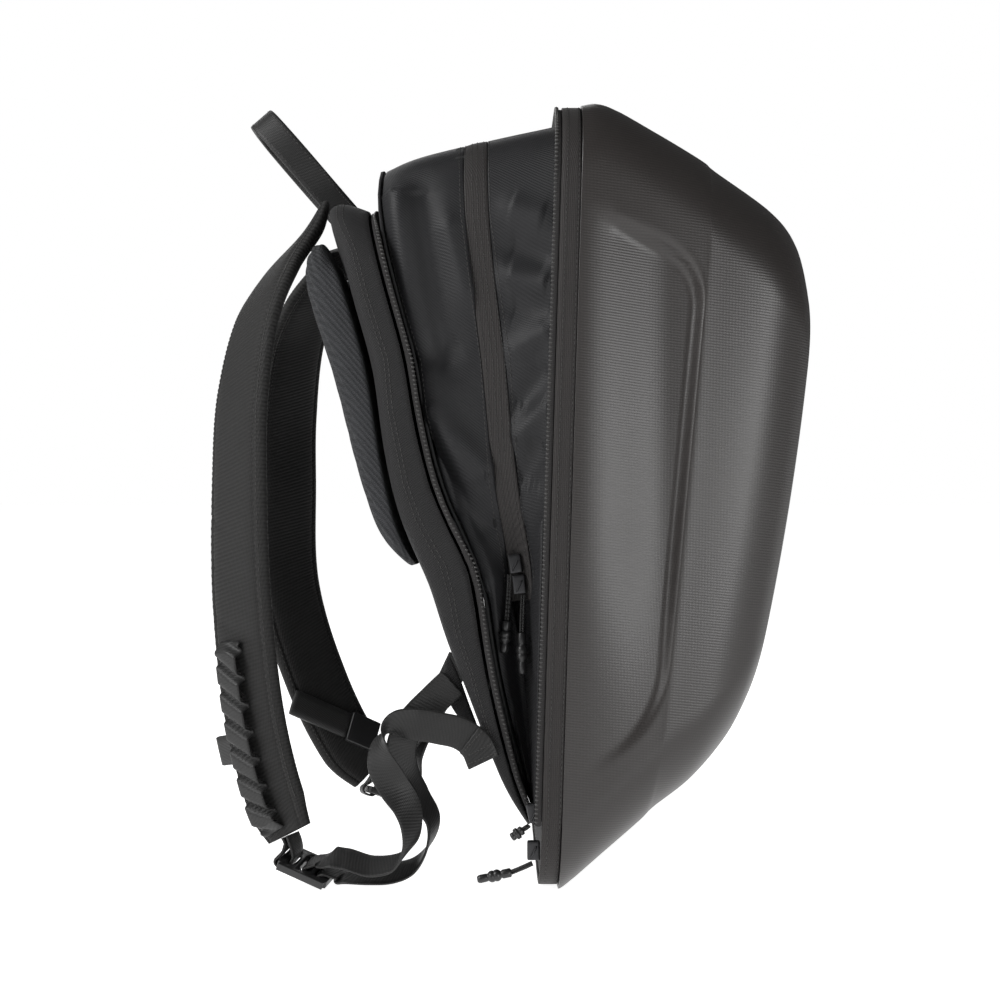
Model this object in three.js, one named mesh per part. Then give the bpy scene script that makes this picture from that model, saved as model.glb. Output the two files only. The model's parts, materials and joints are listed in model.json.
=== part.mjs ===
// Hard shell backpack, standing with its expansion zip open.
// Millimetres, +Z up, +X towards the hard shell, -Y is the wearer's left.
// It is drawn from the foot of the shell's rim and then set on the middle of its own footprint.
import * as THREE from 'three';
import { mergeVertices } from 'three/addons/utils/BufferGeometryUtils.js';

// Hard shell
const shellHeight = 497;
const shellHalfWidth = 165;
const shellCorner = 50;
const shellDepth = 160;
const shellWall = 2;
const shellCrown = 8;
const rimLean = 15;
const recessDepth = 9;
const recessStep = 8.5;

// Binding and expansion zip
const bindingWidth = 12;
const bindingThickness = 4;
const zipTape = 12;
const zipThickness = 1.5;
const teethWidth = 4;
const teethHeight = 2.5;
const gap = 0.3;

// Soft bag between the shell and the back
const clothThickness = 2;
const bagHeight = 465;
const bagHalfWidth = 134;
const bagReach = 104;
const bagCorner = 42;
const bagSwell = 15;
const bagSag = 9;
const footFold = 24;
const mainZipWidth = 15;
const mainZipFoot = 150;
const hingeHeight = 41;

// Back compartment
const trayHeight = 434;
const trayHalfWidth = 146;
const trayCorner = 46;
const trayDepth = 28;
const trayWall = 3;
const trayWave = 6;
const trayPuff = 12;

// Foam back pads
const padWidth = 112;
const padGap = 46;
const padFoot = 212;
const padThickness = 24;

// Carry handle
const handleWebbing = 19;
const handleThickness = 3;
const handleRise = 97;
const handleSpan = 74;
const handleLean = 41;

// Shoulder straps
const strapWidth = 62;
const strapThickness = 12;
const strapReach = 58;
const strapSpread = 105;
const webbingWidth = 20;
const webbingThickness = 1.6;
const daisyBulge = 3.6;

// Ladder-lock buckles
const buckleLength = 36;
const buckleWidth = 30;
const buckleThickness = 5;

// Zip pulls
const pullCord = 3;
const pullSleeve = 5.6;
const sliderLength = 12;
const sliderWidth = 8;
const sliderThickness = 4;

// Steps of the meshes
const sides = { left: -1, right: 1 };
const sideSteps = 13;
const cornerSteps = 4;
const flatSteps = 5;

const lerp = THREE.MathUtils.lerp;
const clamp = THREE.MathUtils.clamp;
const smooth = THREE.MathUtils.smoothstep;
const degrees = THREE.MathUtils.degToRad;
const point = (x, y, z) => new THREE.Vector3(x, y, z);

// Reads a column of a table at any place between its rows.
function readTable(table, key, at, column) {
  const next = table.findIndex((row) => row[key] >= at);
  if (next === 0) return table[0][column];
  if (next < 0) return table[table.length - 1][column];
  const low = table[next - 1];
  const high = table[next];
  return lerp(low[column], high[column], (at - low[key]) / (high[key] - low[key]));
}

// Makes a closed mesh from vertices and triangles, with its faces turned outwards.
function closedGeometry(vertices, triangles) {
  let volume = 0;
  for (const [a, b, c] of triangles) {
    volume += vertices[a].dot(vertices[b].clone().cross(vertices[c]));
  }
  const turned = volume < 0 ? triangles.map(([a, b, c]) => [a, c, b]) : triangles;
  const geometry = new THREE.BufferGeometry().setFromPoints(vertices);
  geometry.setIndex(turned.flat());
  geometry.computeVertexNormals();
  return geometry;
}

// A tube through closed rings of equal count, with a fan on each end ring.
function tube(rings, firstCentre, lastCentre) {
  const count = rings[0].length;
  const vertices = rings.flat();
  const triangles = [];
  for (let ring = 0; ring + 1 < rings.length; ring += 1) {
    for (let i = 0; i < count; i += 1) {
      const a = ring * count + i;
      const b = ring * count + ((i + 1) % count);
      triangles.push([a, b, b + count], [a, b + count, a + count]);
    }
  }
  const ends = [[0, firstCentre], [rings.length - 1, lastCentre]];
  for (const [ring, centre] of ends) {
    const middle = centre ?? meanOf(rings[ring]);
    vertices.push(middle);
    for (let i = 0; i < count; i += 1) {
      const a = ring * count + i;
      const b = ring * count + ((i + 1) % count);
      triangles.push(ring === 0 ? [vertices.length - 1, b, a] : [vertices.length - 1, a, b]);
    }
  }
  return closedGeometry(vertices, triangles);
}

function meanOf(points) {
  const sum = points.reduce((total, p) => total.add(p), point(0, 0, 0));
  return sum.divideScalar(points.length);
}

// A band whose closed rings join up, the last to the first.
function hoop(rings) {
  const count = rings[0].length;
  const vertices = rings.flat();
  const triangles = [];
  for (let ring = 0; ring < rings.length; ring += 1) {
    const other = (ring + 1) % rings.length;
    for (let i = 0; i < count; i += 1) {
      const j = (i + 1) % count;
      const a = ring * count;
      const b = other * count;
      triangles.push([a + i, a + j, b + j], [a + i, b + j, b + i]);
    }
  }
  return closedGeometry(vertices, triangles);
}

// A sheet with thickness, between an outer and an inner grid of points.
function slab(outer, inner) {
  const rows = outer.length;
  const columns = outer[0].length;
  const vertices = [...outer.flat(), ...inner.flat()];
  const half = rows * columns;
  const triangles = [];
  const quad = (a, b, c, d) => triangles.push([a, b, c], [a, c, d]);
  for (let i = 0; i + 1 < rows; i += 1) {
    for (let k = 0; k + 1 < columns; k += 1) {
      const a = i * columns + k;
      quad(a, a + 1, a + columns + 1, a + columns);
      quad(half + a, half + a + columns, half + a + columns + 1, half + a + 1);
    }
  }
  for (let k = 0; k + 1 < columns; k += 1) {
    const last = (rows - 1) * columns + k;
    quad(k, half + k, half + k + 1, k + 1);
    quad(last, last + 1, half + last + 1, half + last);
  }
  for (let i = 0; i + 1 < rows; i += 1) {
    const a = i * columns;
    const end = a + columns - 1;
    quad(a, a + columns, half + a + columns, half + a);
    quad(end, half + end, half + end + columns, end + columns);
  }
  return closedGeometry(vertices, triangles);
}

// Points of a round corner, each with the direction that faces outwards.
function cornerPoints(centreY, centreZ, radius, fromAngle, toAngle) {
  const points = [];
  for (let i = 0; i <= cornerSteps; i += 1) {
    const angle = lerp(fromAngle, toAngle, i / cornerSteps);
    const outY = Math.cos(angle);
    const outZ = Math.sin(angle);
    points.push({ y: centreY + radius * outY, z: centreZ + radius * outZ, outY, outZ });
  }
  return points;
}

// The inner points of a straight stretch, without its ends.
function straightPoints(from, to, steps) {
  const points = [];
  for (let i = 1; i < steps; i += 1) {
    const share = i / steps;
    points.push({
      y: lerp(from.y, to.y, share),
      z: lerp(from.z, to.z, share),
      outY: from.outY,
      outZ: from.outZ,
    });
  }
  return points;
}

// An arch with round shoulders, from the left foot over the top to the right foot.
function arch(halfWidth, low, high, corner) {
  const middle = halfWidth - corner;
  const left = cornerPoints(-middle, high - corner, corner, Math.PI, Math.PI / 2);
  const right = cornerPoints(middle, high - corner, corner, Math.PI / 2, 0);
  const leftFoot = { y: -halfWidth, z: low, outY: -1, outZ: 0 };
  const rightFoot = { y: halfWidth, z: low, outY: 1, outZ: 0 };
  return [
    leftFoot,
    ...straightPoints(leftFoot, left[0], sideSteps),
    ...left,
    ...straightPoints(left[cornerSteps], right[0], flatSteps),
    ...right,
    ...straightPoints(right[cornerSteps], rightFoot, sideSteps),
    rightFoot,
  ];
}

// A closed loop with four round corners.
function roundedLoop(halfWidth, low, high, corner) {
  const middle = halfWidth - corner;
  const top = arch(halfWidth, low + corner, high, corner);
  const right = cornerPoints(middle, low + corner, corner, 0, -Math.PI / 2).slice(1);
  const left = cornerPoints(-middle, low + corner, corner, -Math.PI / 2, -Math.PI).slice(0, -1);
  const floor = straightPoints(right[cornerSteps - 1], left[0], flatSteps);
  return [...top, ...right, ...floor, ...left];
}

// Shell stations from the flange to the front edge. Depths are shares of shellDepth, drops and
// rises of shellHeight, width of shellHalfWidth and corner of shellCorner.
const shellStations = [
  { depth: 0.175, drop: 0, footDepth: 0.1, rise: 0, width: 1, corner: 1, bulge: 0, sink: 0 },
  { depth: 0.369, drop: 0.032, footDepth: 0.25, rise: 0.04, width: 0.995, corner: 1.05, bulge: 0.01, sink: 0.3 },
  { depth: 0.556, drop: 0.066, footDepth: 0.4, rise: 0.08, width: 0.985, corner: 1.1, bulge: 0.02, sink: 0.4 },
  { depth: 0.613, drop: 0.079, footDepth: 0.456, rise: 0.096, width: 0.98, corner: 1.15, bulge: 0.025, sink: 0.5 },
  { depth: 0.838, drop: 0.127, footDepth: 0.605, rise: 0.13, width: 0.95, corner: 1.2, bulge: 0.035, sink: 0.7 },
  { depth: 0.944, drop: 0.165, footDepth: 0.738, rise: 0.175, width: 0.9, corner: 1.2, bulge: 0.038, sink: 0.9 },
  { depth: 0.994, drop: 0.221, footDepth: 0.812, rise: 0.215, width: 0.84, corner: 1.1, bulge: 0.036, sink: 1 },
];
const frontScales = [0.94, 0.66, 0.3];

// Lines that bound the side recess, as shares of shellDepth and shellHeight.
const recessFront = { foot: 0.494, top: 0.638, low: 0.249, high: 0.742 };
const recessTop = { start: 0.223, height: 0.856, slope: 0.484 };
const recessFoot = { start: 0.138, height: 0.14, slope: 0.727 };
const recessRound = 26;
const recessRimFade = [0.15, 0.5];
const recessFootFade = [0.2, 0.46];
const recessFootShare = 0.35;

const rimX = (z) => (rimLean * z) / shellHeight;

// Distance inside the recess, rounded where its three sides meet.
function softLeast(a, b) {
  const blend = clamp(0.5 + (0.5 * (b - a)) / recessRound, 0, 1);
  return lerp(b, a, blend) - recessRound * blend * (1 - blend);
}

function recessAt(x, z) {
  const along = (z / shellHeight - recessFront.low) / (recessFront.high - recessFront.low);
  const front = lerp(recessFront.foot, recessFront.top, along) * shellDepth - x;
  const topLine = recessTop.height * shellHeight - recessTop.slope * (x - recessTop.start * shellDepth);
  const top = (topLine - z) / Math.hypot(1, recessTop.slope);
  const footLine = recessFoot.height * shellHeight + recessFoot.slope * (x - recessFoot.start * shellDepth);
  const foot = (z - footLine) / Math.hypot(1, recessFoot.slope);
  const inside = softLeast(softLeast(front, top), foot);
  const rimFade = smooth(x / shellDepth, recessRimFade[0], recessRimFade[1]);
  const footFade = lerp(recessFootShare, 1, smooth(z / shellHeight, recessFootFade[0], recessFootFade[1]));
  return recessDepth * smooth(inside, 0, recessStep) * rimFade * footFade;
}

// One ring of the shell, moved in from the outer face by the wall or not at all.
function shellRing(station, inset, scale = 1) {
  const low = station.rise * shellHeight;
  const high = (1 - station.drop) * shellHeight;
  const footX = station.footX ?? station.footDepth * shellDepth;
  const topX = station.topX ?? rimLean + station.depth * shellDepth;
  const middle = (low + high) / 2;
  const corner = station.corner * shellCorner;
  const loop = roundedLoop(station.width * shellHalfWidth - inset, low + inset, high - inset, corner - inset);
  return loop.map((p) => {
    const y = p.y * scale;
    const z = middle + (p.z - middle) * scale;
    const share = (z - low) / (high - low);
    const bulge = station.bulge * shellDepth * 4 * share * (1 - share);
    const crown = shellCrown * (1 - scale * scale);
    const x = lerp(footX, topX, share) + bulge + crown - station.sink * inset;
    const dent = scale < 1 ? 0 : recessAt(x, z) * p.outY * p.outY;
    return point(x, y - Math.sign(p.outY) * dent, z);
  });
}

function hardShell() {
  const edge = { ...shellStations[0], footX: bindingWidth + gap, topX: rimLean + bindingWidth + gap };
  const stations = [edge, ...shellStations];
  const front = shellStations[shellStations.length - 1];
  const skin = (inset) => [
    ...stations.map((station) => shellRing(station, inset)),
    ...frontScales.map((scale) => shellRing(front, inset, scale)),
  ];
  const outer = skin(0).reverse();
  const inner = skin(shellWall);
  const pole = (ring) => meanOf(ring);
  return tube([...outer, ...inner], pole(outer[0]), pole(inner[inner.length - 1]));
}

// A loop that follows the rim, inset inwards and set forward of the rim's plane.
function rimLoop(inset, forward) {
  const loop = roundedLoop(shellHalfWidth - inset, inset, shellHeight - inset, shellCorner - inset);
  return loop.map((p) => point(rimX(p.z) + forward, p.y, p.z));
}

function rimBand() {
  const inner = bindingThickness;
  return hoop([rimLoop(0, 0), rimLoop(0, bindingWidth), rimLoop(inner, bindingWidth), rimLoop(inner, 0)]);
}

// An expansion zip's half: a tape with its row of teeth along the outer edge.
// The place function gives a point for an inset and a height above the seat.
function zipHalf(place) {
  const seat = gap;
  const tapeTop = seat + zipThickness;
  const teethTop = tapeTop + teethHeight;
  const edge = 1;
  const outer = [place(edge, seat), place(edge + teethWidth, seat), place(edge + zipTape, seat)];
  const inner = [place(edge, teethTop), place(edge + teethWidth, teethTop), place(edge + zipTape, tapeTop)];
  const acrossRows = (lists) => lists[0].map((_, i) => lists.map((list) => list[i]));
  return slab(acrossRows(outer), acrossRows(inner));
}

const zipCrest = gap + zipThickness + teethHeight;
const waveSlack = 1.6;
const zipStart = hingeHeight + 6;

function rimZip() {
  return zipHalf((inset, rise) => {
    const line = arch(shellHalfWidth - inset, zipStart, shellHeight - inset, shellCorner - inset);
    return line.map((p) => point(rimX(p.z) - rise, p.y, p.z));
  });
}

// The back's front edge in side view, with the slack wave of its open zip.
const backWaves = [
  { at: 0, off: 0 },
  { at: 0.08, off: 0.8 },
  { at: 0.22, off: 0.6 },
  { at: 0.3, off: 0.2 },
  { at: 0.38, off: -0.6 },
  { at: 0.43, off: -0.8 },
  { at: 0.5, off: 0.6 },
  { at: 0.56, off: 1.1 },
  { at: 0.68, off: 0.8 },
  { at: 0.76, off: 0 },
  { at: 0.87, off: 0.2 },
  { at: 1, off: 0 },
];

function backX(z) {
  const share = clamp((z - hingeHeight) / (trayHeight - 9 - hingeHeight), 0, 1);
  return -zipCrest - bagReach * share - trayWave * readTable(backWaves, 'at', share, 'off');
}

function backZip() {
  return zipHalf((inset, rise) => {
    const line = arch(trayHalfWidth - inset, zipStart, trayHeight - inset, trayCorner - inset);
    return line.map((p) => point(backX(p.z) + waveSlack + rise, p.y, p.z));
  });
}

// The bag's rear wall lies on the back's zip and stands above it.
const bagRear = (z) => backX(z) + waveSlack + zipCrest + gap;
const bagFoot = hingeHeight + 28;
const frontSeat = 2 * zipThickness;

function bagBackWall() {
  const rows = 16;
  const columns = 8;
  const face = (off) => {
    const grid = [];
    for (let i = 0; i <= rows; i += 1) {
      const z = lerp(bagFoot, bagHeight, i / rows);
      const over = Math.max(0, z - (bagHeight - bagCorner));
      const half = bagHalfWidth - bagCorner + Math.sqrt(Math.max(0, bagCorner ** 2 - over ** 2));
      const line = [];
      for (let k = 0; k <= columns; k += 1) {
        line.push(point(bagRear(z) + off, lerp(-half, half, k / columns), z));
      }
      grid.push(line);
    }
    return grid;
  };
  return slab(face(0), face(clothThickness));
}

// Side panels of the bag, from the rear wall at 0 to the rim at 1. Swell is a share of bagSwell.
const bagStations = [
  { at: 0, swell: 0 },
  { at: 0.1, swell: 0.7 },
  { at: 0.25, swell: 1 },
  { at: 0.6, swell: 1.1 },
  { at: 0.9, swell: 1.35 },
  { at: 1, swell: 1.5 },
];
// How far the sides fall in, along the height, as shares of bagSag and footFold.
const bagFolds = [
  { at: 0, sag: 0, fold: 0.5 },
  { at: 0.15, sag: 0.3, fold: 1 },
  { at: 0.32, sag: 0.6, fold: 0.8 },
  { at: 0.5, sag: 1, fold: 0.1 },
  { at: 0.75, sag: 1, fold: 0 },
  { at: 1, sag: 0.4, fold: 0 },
];

// A line of the bag at a share between rear wall and rim, moved in by an inset.
function bagLine(shareAt, inset) {
  const swellAt = (share) => bagSwell * readTable(bagStations, 'at', share, 'swell');
  const frontHigh = shellHeight - 11.5;
  const lineAt = (share) => {
    const high = lerp(bagHeight - 3, frontHigh, share) + 4 * share * (1 - share) * 4;
    return arch(bagHalfWidth - 3 + swellAt(share), bagFoot, high, bagCorner);
  };
  const guide = lineAt(0.5);
  return guide.map((_, i) => {
    const height = clamp((guide[i].z - bagFoot) / (bagHeight - bagFoot), 0, 1);
    const share = shareAt(guide[i], height);
    const p = lineAt(share)[i];
    const rise = clamp((p.z - bagFoot) / (bagHeight - bagFoot), 0, 1);
    const rearX = bagRear(Math.min(p.z, bagHeight)) + clothThickness + waveSlack;
    const frontX = rimX(p.z) - frontSeat;
    const sag = bagSag * readTable(bagFolds, 'at', rise, 'sag');
    const fold = footFold * readTable(bagFolds, 'at', rise, 'fold');
    const inwards = sag * 0.6 + (sag * 0.4 + fold) * Math.abs(p.outY);
    const off = inwards * 4 * share * (1 - share) + inset;
    return point(lerp(rearX, frontX, share), p.y - p.outY * off, p.z - p.outZ * off);
  });
}

// Where the main zip runs, as the middle of its strip and half its width, both shares of the way.
const mainZipMiddle = [
  { at: 0, middle: 0.62 },
  { at: 0.4, middle: 0.62 },
  { at: 0.7, middle: 0.56 },
  { at: 1, middle: 0.54 },
];

function mainZipEdges(p, height) {
  const z = clamp(p.z, bagFoot, bagHeight);
  const way = rimX(z) - bagRear(z) - zipCrest;
  const middle = readTable(mainZipMiddle, 'at', height, 'middle');
  const opening = smooth(p.z, mainZipFoot, mainZipFoot + 26);
  const open = p.z > mainZipFoot ? (mainZipWidth / 2) * lerp(0.25, 1, opening) : 0;
  return { middle, half: open / way, seam: (gap / 2) / way };
}

const panelSteps = 4;

function bagPanel(from, to) {
  const side = (inset) => {
    const lines = [];
    for (let k = 0; k <= panelSteps; k += 1) {
      lines.push(bagLine((p, height) => lerp(from(p, height), to(p, height), k / panelSteps), inset));
    }
    return lines[0].map((_, i) => lines.map((line) => line[i]));
  };
  return slab(side(0), side(clothThickness));
}

const zipRear = (p, height) => {
  const edge = mainZipEdges(p, height);
  return edge.middle - edge.half - edge.seam;
};
const zipFront = (p, height) => {
  const edge = mainZipEdges(p, height);
  return edge.middle + edge.half + edge.seam;
};

function mainZip() {
  const edges = [-1, 0, 1];
  const side = (inset) => {
    const lines = edges.map((edge) => bagLine((p, height) => {
      const strip = mainZipEdges(p, height);
      return strip.middle + edge * (strip.half - strip.seam);
    }, inset - (edge === 0 ? 1.2 : 0.4)));
    const open = bagLine((p, height) => mainZipEdges(p, height).half, 0);
    const kept = [];
    open.forEach((p, i) => {
      if (open[i].z > mainZipFoot + 1) kept.push(i);
    });
    return kept.map((i) => lines.map((line) => line[i]));
  };
  return slab(side(0), side(clothThickness));
}

// The cloth strip that closes the shell's foot, from the binding up to the hinge.
function hingePanel() {
  const rows = 5;
  const low = bindingThickness + gap;
  const corner = shellCorner - low;
  const face = (off) => {
    const grid = [];
    for (let i = 0; i <= rows; i += 1) {
      const z = lerp(low, hingeHeight + 4, i / rows);
      const under = Math.max(0, shellCorner - z);
      const half = shellHalfWidth - shellCorner - gap * 4 + Math.sqrt(Math.max(0, corner ** 2 - under ** 2));
      const line = [-1, -0.5, 0, 0.5, 1].map((side) => point(rimX(z) + off, side * half, z));
      grid.push(line);
    }
    return grid;
  };
  return slab(face(1), face(1 + clothThickness));
}

// Depth of the back compartment along its height, as shares of trayDepth.
const trayDepths = [
  { at: 0, depth: 0.1 },
  { at: 0.1, depth: 0.25 },
  { at: 0.26, depth: 0.54 },
  { at: 0.33, depth: 0.82 },
  { at: 0.44, depth: 1 },
  { at: 0.56, depth: 0.86 },
  { at: 0.75, depth: 0.72 },
  { at: 0.92, depth: 0.8 },
  { at: 1, depth: 1.12 },
];
const trayRings = [
  { inset: 0, depth: 0 },
  { inset: 0, depth: 0.55 },
  { inset: 2, depth: 0.86 },
  { inset: 8, depth: 1 },
];
const trayScales = [0.75, 0.45, 0.15];
const trayFoot = hingeHeight - 6;
const backLean = Math.atan2(bagReach, trayHeight - hingeHeight);

function trayDepthAt(z) {
  const share = clamp((z - trayFoot) / (trayHeight - trayFoot), 0, 1);
  return trayDepth * readTable(trayDepths, 'at', share, 'depth');
}

// A point behind the back's front edge, square to its lean.
function behindBack(y, z, depth) {
  return point(backX(z) - depth * Math.cos(backLean), y, z - depth * Math.sin(backLean));
}

function trayLoop(inset, low, depthShare, wall, scale = 1) {
  const loop = roundedLoop(trayHalfWidth - inset, low + inset, trayHeight - inset, trayCorner - inset);
  const middle = (low + trayHeight) / 2;
  return loop.map((p) => {
    const z = middle + (p.z - middle) * scale;
    const depth = Math.max(0, trayDepthAt(z) - wall) * depthShare;
    const place = behindBack(p.y * scale, z, depth);
    place.z += trayPuff * smooth(z, trayHeight - 60, trayHeight) * Math.min(1, depthShare * 1.6);
    return place;
  });
}

function backTray() {
  const innerFoot = trayFoot + 30;
  const skin = (low, wall) => [
    ...trayRings.map((ring) => trayLoop(ring.inset + wall, low, ring.depth, wall)),
    ...trayScales.map((scale) => trayLoop(trayRings[3].inset + wall, low, 1, wall, scale)),
  ];
  const outer = skin(trayFoot, 0).reverse();
  const inner = skin(innerFoot, trayWall);
  return tube([...outer, ...inner]);
}

// Thickness and width of the back pads along their height, as shares of padThickness and padWidth.
const padStations = [
  { at: 0, thickness: 0.15, width: 0.5 },
  { at: 0.03, thickness: 0.3, width: 0.74 },
  { at: 0.09, thickness: 0.5, width: 0.94 },
  { at: 0.16, thickness: 0.58, width: 1 },
  { at: 0.35, thickness: 0.75, width: 1 },
  { at: 0.6, thickness: 0.98, width: 1 },
  { at: 0.85, thickness: 1.05, width: 1 },
  { at: 0.93, thickness: 0.9, width: 0.96 },
  { at: 0.98, thickness: 0.55, width: 0.8 },
  { at: 1, thickness: 0.25, width: 0.62 },
];
// The pad's section, as shares of its width and thickness, from its inner front edge round.
const padSection = [
  { across: -0.5, up: 0 },
  { across: -0.5, up: 0.55 },
  { across: -0.44, up: 0.86 },
  { across: -0.25, up: 1 },
  { across: 0.25, up: 1 },
  { across: 0.44, up: 0.86 },
  { across: 0.5, up: 0.55 },
  { across: 0.5, up: 0 },
  { across: 0, up: 0 },
];
const padTop = trayHeight - 14;
const padSeat = 3.6;

function backPad(side) {
  const centre = side * (padGap + padWidth) / 2;
  const rings = padStations.map((row) => {
    const z = lerp(padFoot, padTop, row.at);
    const seat = trayDepthAt(z) + padSeat;
    return padSection.map((p) => {
      const y = centre + p.across * row.width * padWidth;
      return behindBack(y, z, seat + p.up * row.thickness * padThickness);
    });
  });
  return tube(rings);
}

// A smooth line of frames through hand-chosen points, each with its crosswise direction.
function framesAlong(points, acrosses, steps) {
  const both = {
    line: new THREE.CatmullRomCurve3(points, false, 'centripetal'),
    turn: new THREE.CatmullRomCurve3(acrosses, false, 'centripetal'),
  };
  return Array.from({ length: steps + 1 }, (_, i) => frameOn(both, i / steps));
}

// The place, direction, crosswise direction and face direction at a share of a line.
function frameOn({ line, turn }, share) {
  const at = line.getPoint(share);
  const tangent = line.getTangent(share);
  const across = turn.getPoint(share);
  across.addScaledVector(tangent, -across.dot(tangent)).normalize();
  const out = new THREE.Vector3().crossVectors(tangent, across).normalize();
  return { at, tangent, across, out };
}

const move = (frame, sideways, outwards) => frame.at.clone()
  .addScaledVector(frame.across, sideways)
  .addScaledVector(frame.out, outwards);

// Flat webbing along frames.
function webbing(frames, width, thickness) {
  const half = width / 2;
  const up = thickness / 2;
  const corners = [[-half, -up], [half, -up], [half, up], [-half, up]];
  return tube(frames.map((frame) => corners.map(([sideways, outwards]) => move(frame, sideways, outwards))));
}

function grabHandle() {
  const lean = degrees(handleLean);
  const seat = behindBack(0, trayHeight, trayDepthAt(trayHeight) * 0.7);
  const base = point(seat.x, 0, seat.z + trayPuff + gap * 6);
  const legs = [
    { out: 0.45, up: 0 },
    { out: 0.46, up: 0.2 },
    { out: 0.52, up: 0.62 },
    { out: 0.42, up: 0.9 },
    { out: 0.2, up: 1 },
  ];
  const at = (leg, side) => point(
    base.x - Math.sin(lean) * leg.up * handleRise,
    side * leg.out * handleSpan,
    base.z + Math.cos(lean) * leg.up * handleRise,
  );
  const left = legs.map((leg) => at(leg, -1));
  const right = legs.map((leg) => at(leg, 1)).reverse();
  const points = [...left, ...right];
  const acrosses = points.map(() => point(Math.cos(lean), 0, Math.sin(lean)));
  return webbing(framesAlong(points, acrosses, 20), handleWebbing, handleThickness);
}

// Shoulder strap from its seat on the back down to the buckle. back is a share of strapReach,
// rise of the seat's height, spread of strapSpread, turn is in degrees, width a share of
// strapWidth, and swing is how far the right strap falls towards the bag, a share of strapReach.
const strapStations = [
  { back: 0.12, rise: 1.005, spread: 0.59, turn: 8, width: 0.86, thick: 0.6, swing: 0 },
  { back: 0.22, rise: 0.978, spread: 0.64, turn: 14, width: 0.92, thick: 0.9, swing: 0 },
  { back: 0.534, rise: 0.917, spread: 0.74, turn: 24, width: 1, thick: 1, swing: 0 },
  { back: 0.767, rise: 0.846, spread: 0.86, turn: 32, width: 1, thick: 1, swing: 0 },
  { back: 0.914, rise: 0.726, spread: 0.96, turn: 38, width: 1, thick: 1, swing: 0 },
  { back: 0.94, rise: 0.6, spread: 1, turn: 42, width: 0.96, thick: 1, swing: 0 },
  { back: 0.91, rise: 0.412, spread: 1, turn: 48, width: 0.92, thick: 1, swing: 0 },
  { back: 0.76, rise: 0.237, spread: 1, turn: 52, width: 0.88, thick: 1, swing: 0.24 },
  { back: 0.53, rise: 0.12, spread: 1.02, turn: 54, width: 0.84, thick: 1, swing: 0.44 },
  { back: 0.36, rise: 0.072, spread: 1.06, turn: 54, width: 0.66, thick: 0.8, swing: 0.56 },
];
// The strap's section, as shares of its width and thickness.
const strapSection = [
  { across: -0.5, up: 0 },
  { across: -0.47, up: 0.36 },
  { across: -0.34, up: 0.5 },
  { across: 0.34, up: 0.5 },
  { across: 0.47, up: 0.36 },
  { across: 0.5, up: 0 },
  { across: 0.47, up: -0.36 },
  { across: 0.34, up: -0.5 },
  { across: -0.34, up: -0.5 },
  { across: -0.47, up: -0.36 },
];
const strapSteps = 24;

function strapLine(side) {
  const seat = behindBack(0, trayHeight, trayDepthAt(trayHeight));
  const points = strapStations.map((row) => {
    const swing = side > 0 ? row.swing * strapReach : 0;
    const x = seat.x - row.back * strapReach + swing;
    return point(x, side * row.spread * strapSpread, row.rise * trayHeight);
  });
  const acrosses = strapStations.map((row) => {
    const turn = degrees(row.turn);
    return point(Math.sin(turn), side * Math.cos(turn), 0);
  });
  return {
    line: new THREE.CatmullRomCurve3(points, false, 'centripetal'),
    turn: new THREE.CatmullRomCurve3(acrosses, false, 'centripetal'),
  };
}

const strapColumn = (column, i) => {
  const place = Math.min(i / strapSteps, 1) * (strapStations.length - 1);
  const row = Math.min(Math.floor(place), strapStations.length - 2);
  return lerp(strapStations[row][column], strapStations[row + 1][column], place - row);
};

function shoulderStrap(side) {
  const frames = strapFrameAt(side, strapSteps, 0, 1);
  const rings = frames.map((frame, i) => strapSection.map((p) => move(
    frame,
    p.across * strapWidth * strapColumn('width', i),
    p.up * strapThickness * strapColumn('thick', i),
  )));
  return tube(rings);
}

const strapFrameAt = (side, steps, from, to) => {
  const all = strapLine(side);
  return Array.from({ length: steps + 1 }, (_, i) => frameOn(all, lerp(from, to, i / steps)));
};

// Height of a strap's face over its middle line, at a share of its run.
const strapFace = (run) => (strapThickness * strapColumn('thick', run * strapSteps)) / 2;
const facing = (side) => -side;

// Looped webbing on the strap's outer face, sewn down between its loops.
const daisyRun = { from: 0.7, to: 0.975 };
const daisyLoops = 7;
const daisySteps = 4;
const daisyOff = 5;

function daisyChain(side) {
  const steps = daisyLoops * daisySteps;
  const frames = strapFrameAt(side, steps, daisyRun.from, daisyRun.to);
  const along = frames.map((frame, i) => {
    const run = lerp(daisyRun.from, daisyRun.to, i / steps);
    const lift = daisyBulge * Math.sin((Math.PI * (i % daisySteps)) / daisySteps) ** 2;
    const height = strapFace(run) + gap * 2 + webbingThickness / 2 + lift;
    return { ...frame, at: move(frame, -daisyOff, facing(side) * height) };
  });
  return webbing(along, webbingWidth * 0.98, webbingThickness);
}

// Chest strap ends that lie across the straps' inner faces. The right one hangs with its slide.
const sternumLie = {
  left: { run: 0.812, from: -1.6, to: -0.5, hang: 0, slack: 0.6 },
  right: { run: 0.85, from: -1.5, to: 0.16, hang: 50, slack: 0.9 },
};
const slideLength = 26;
const slideThickness = 5;

function sternumFrame(name, thickness) {
  const side = sides[name];
  const frame = strapFrameAt(side, 1, sternumLie[name].run, sternumLie[name].run)[0];
  const hang = degrees(sternumLie[name].hang);
  const across = frame.across.clone().applyAxisAngle(frame.out, -hang);
  const tangent = frame.tangent.clone().applyAxisAngle(frame.out, -hang);
  const height = -facing(side) * (strapFace(sternumLie[name].run) + sternumLie[name].slack + thickness / 2);
  return { at: move(frame, 0, height), across, tangent, out: frame.out };
}

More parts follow.
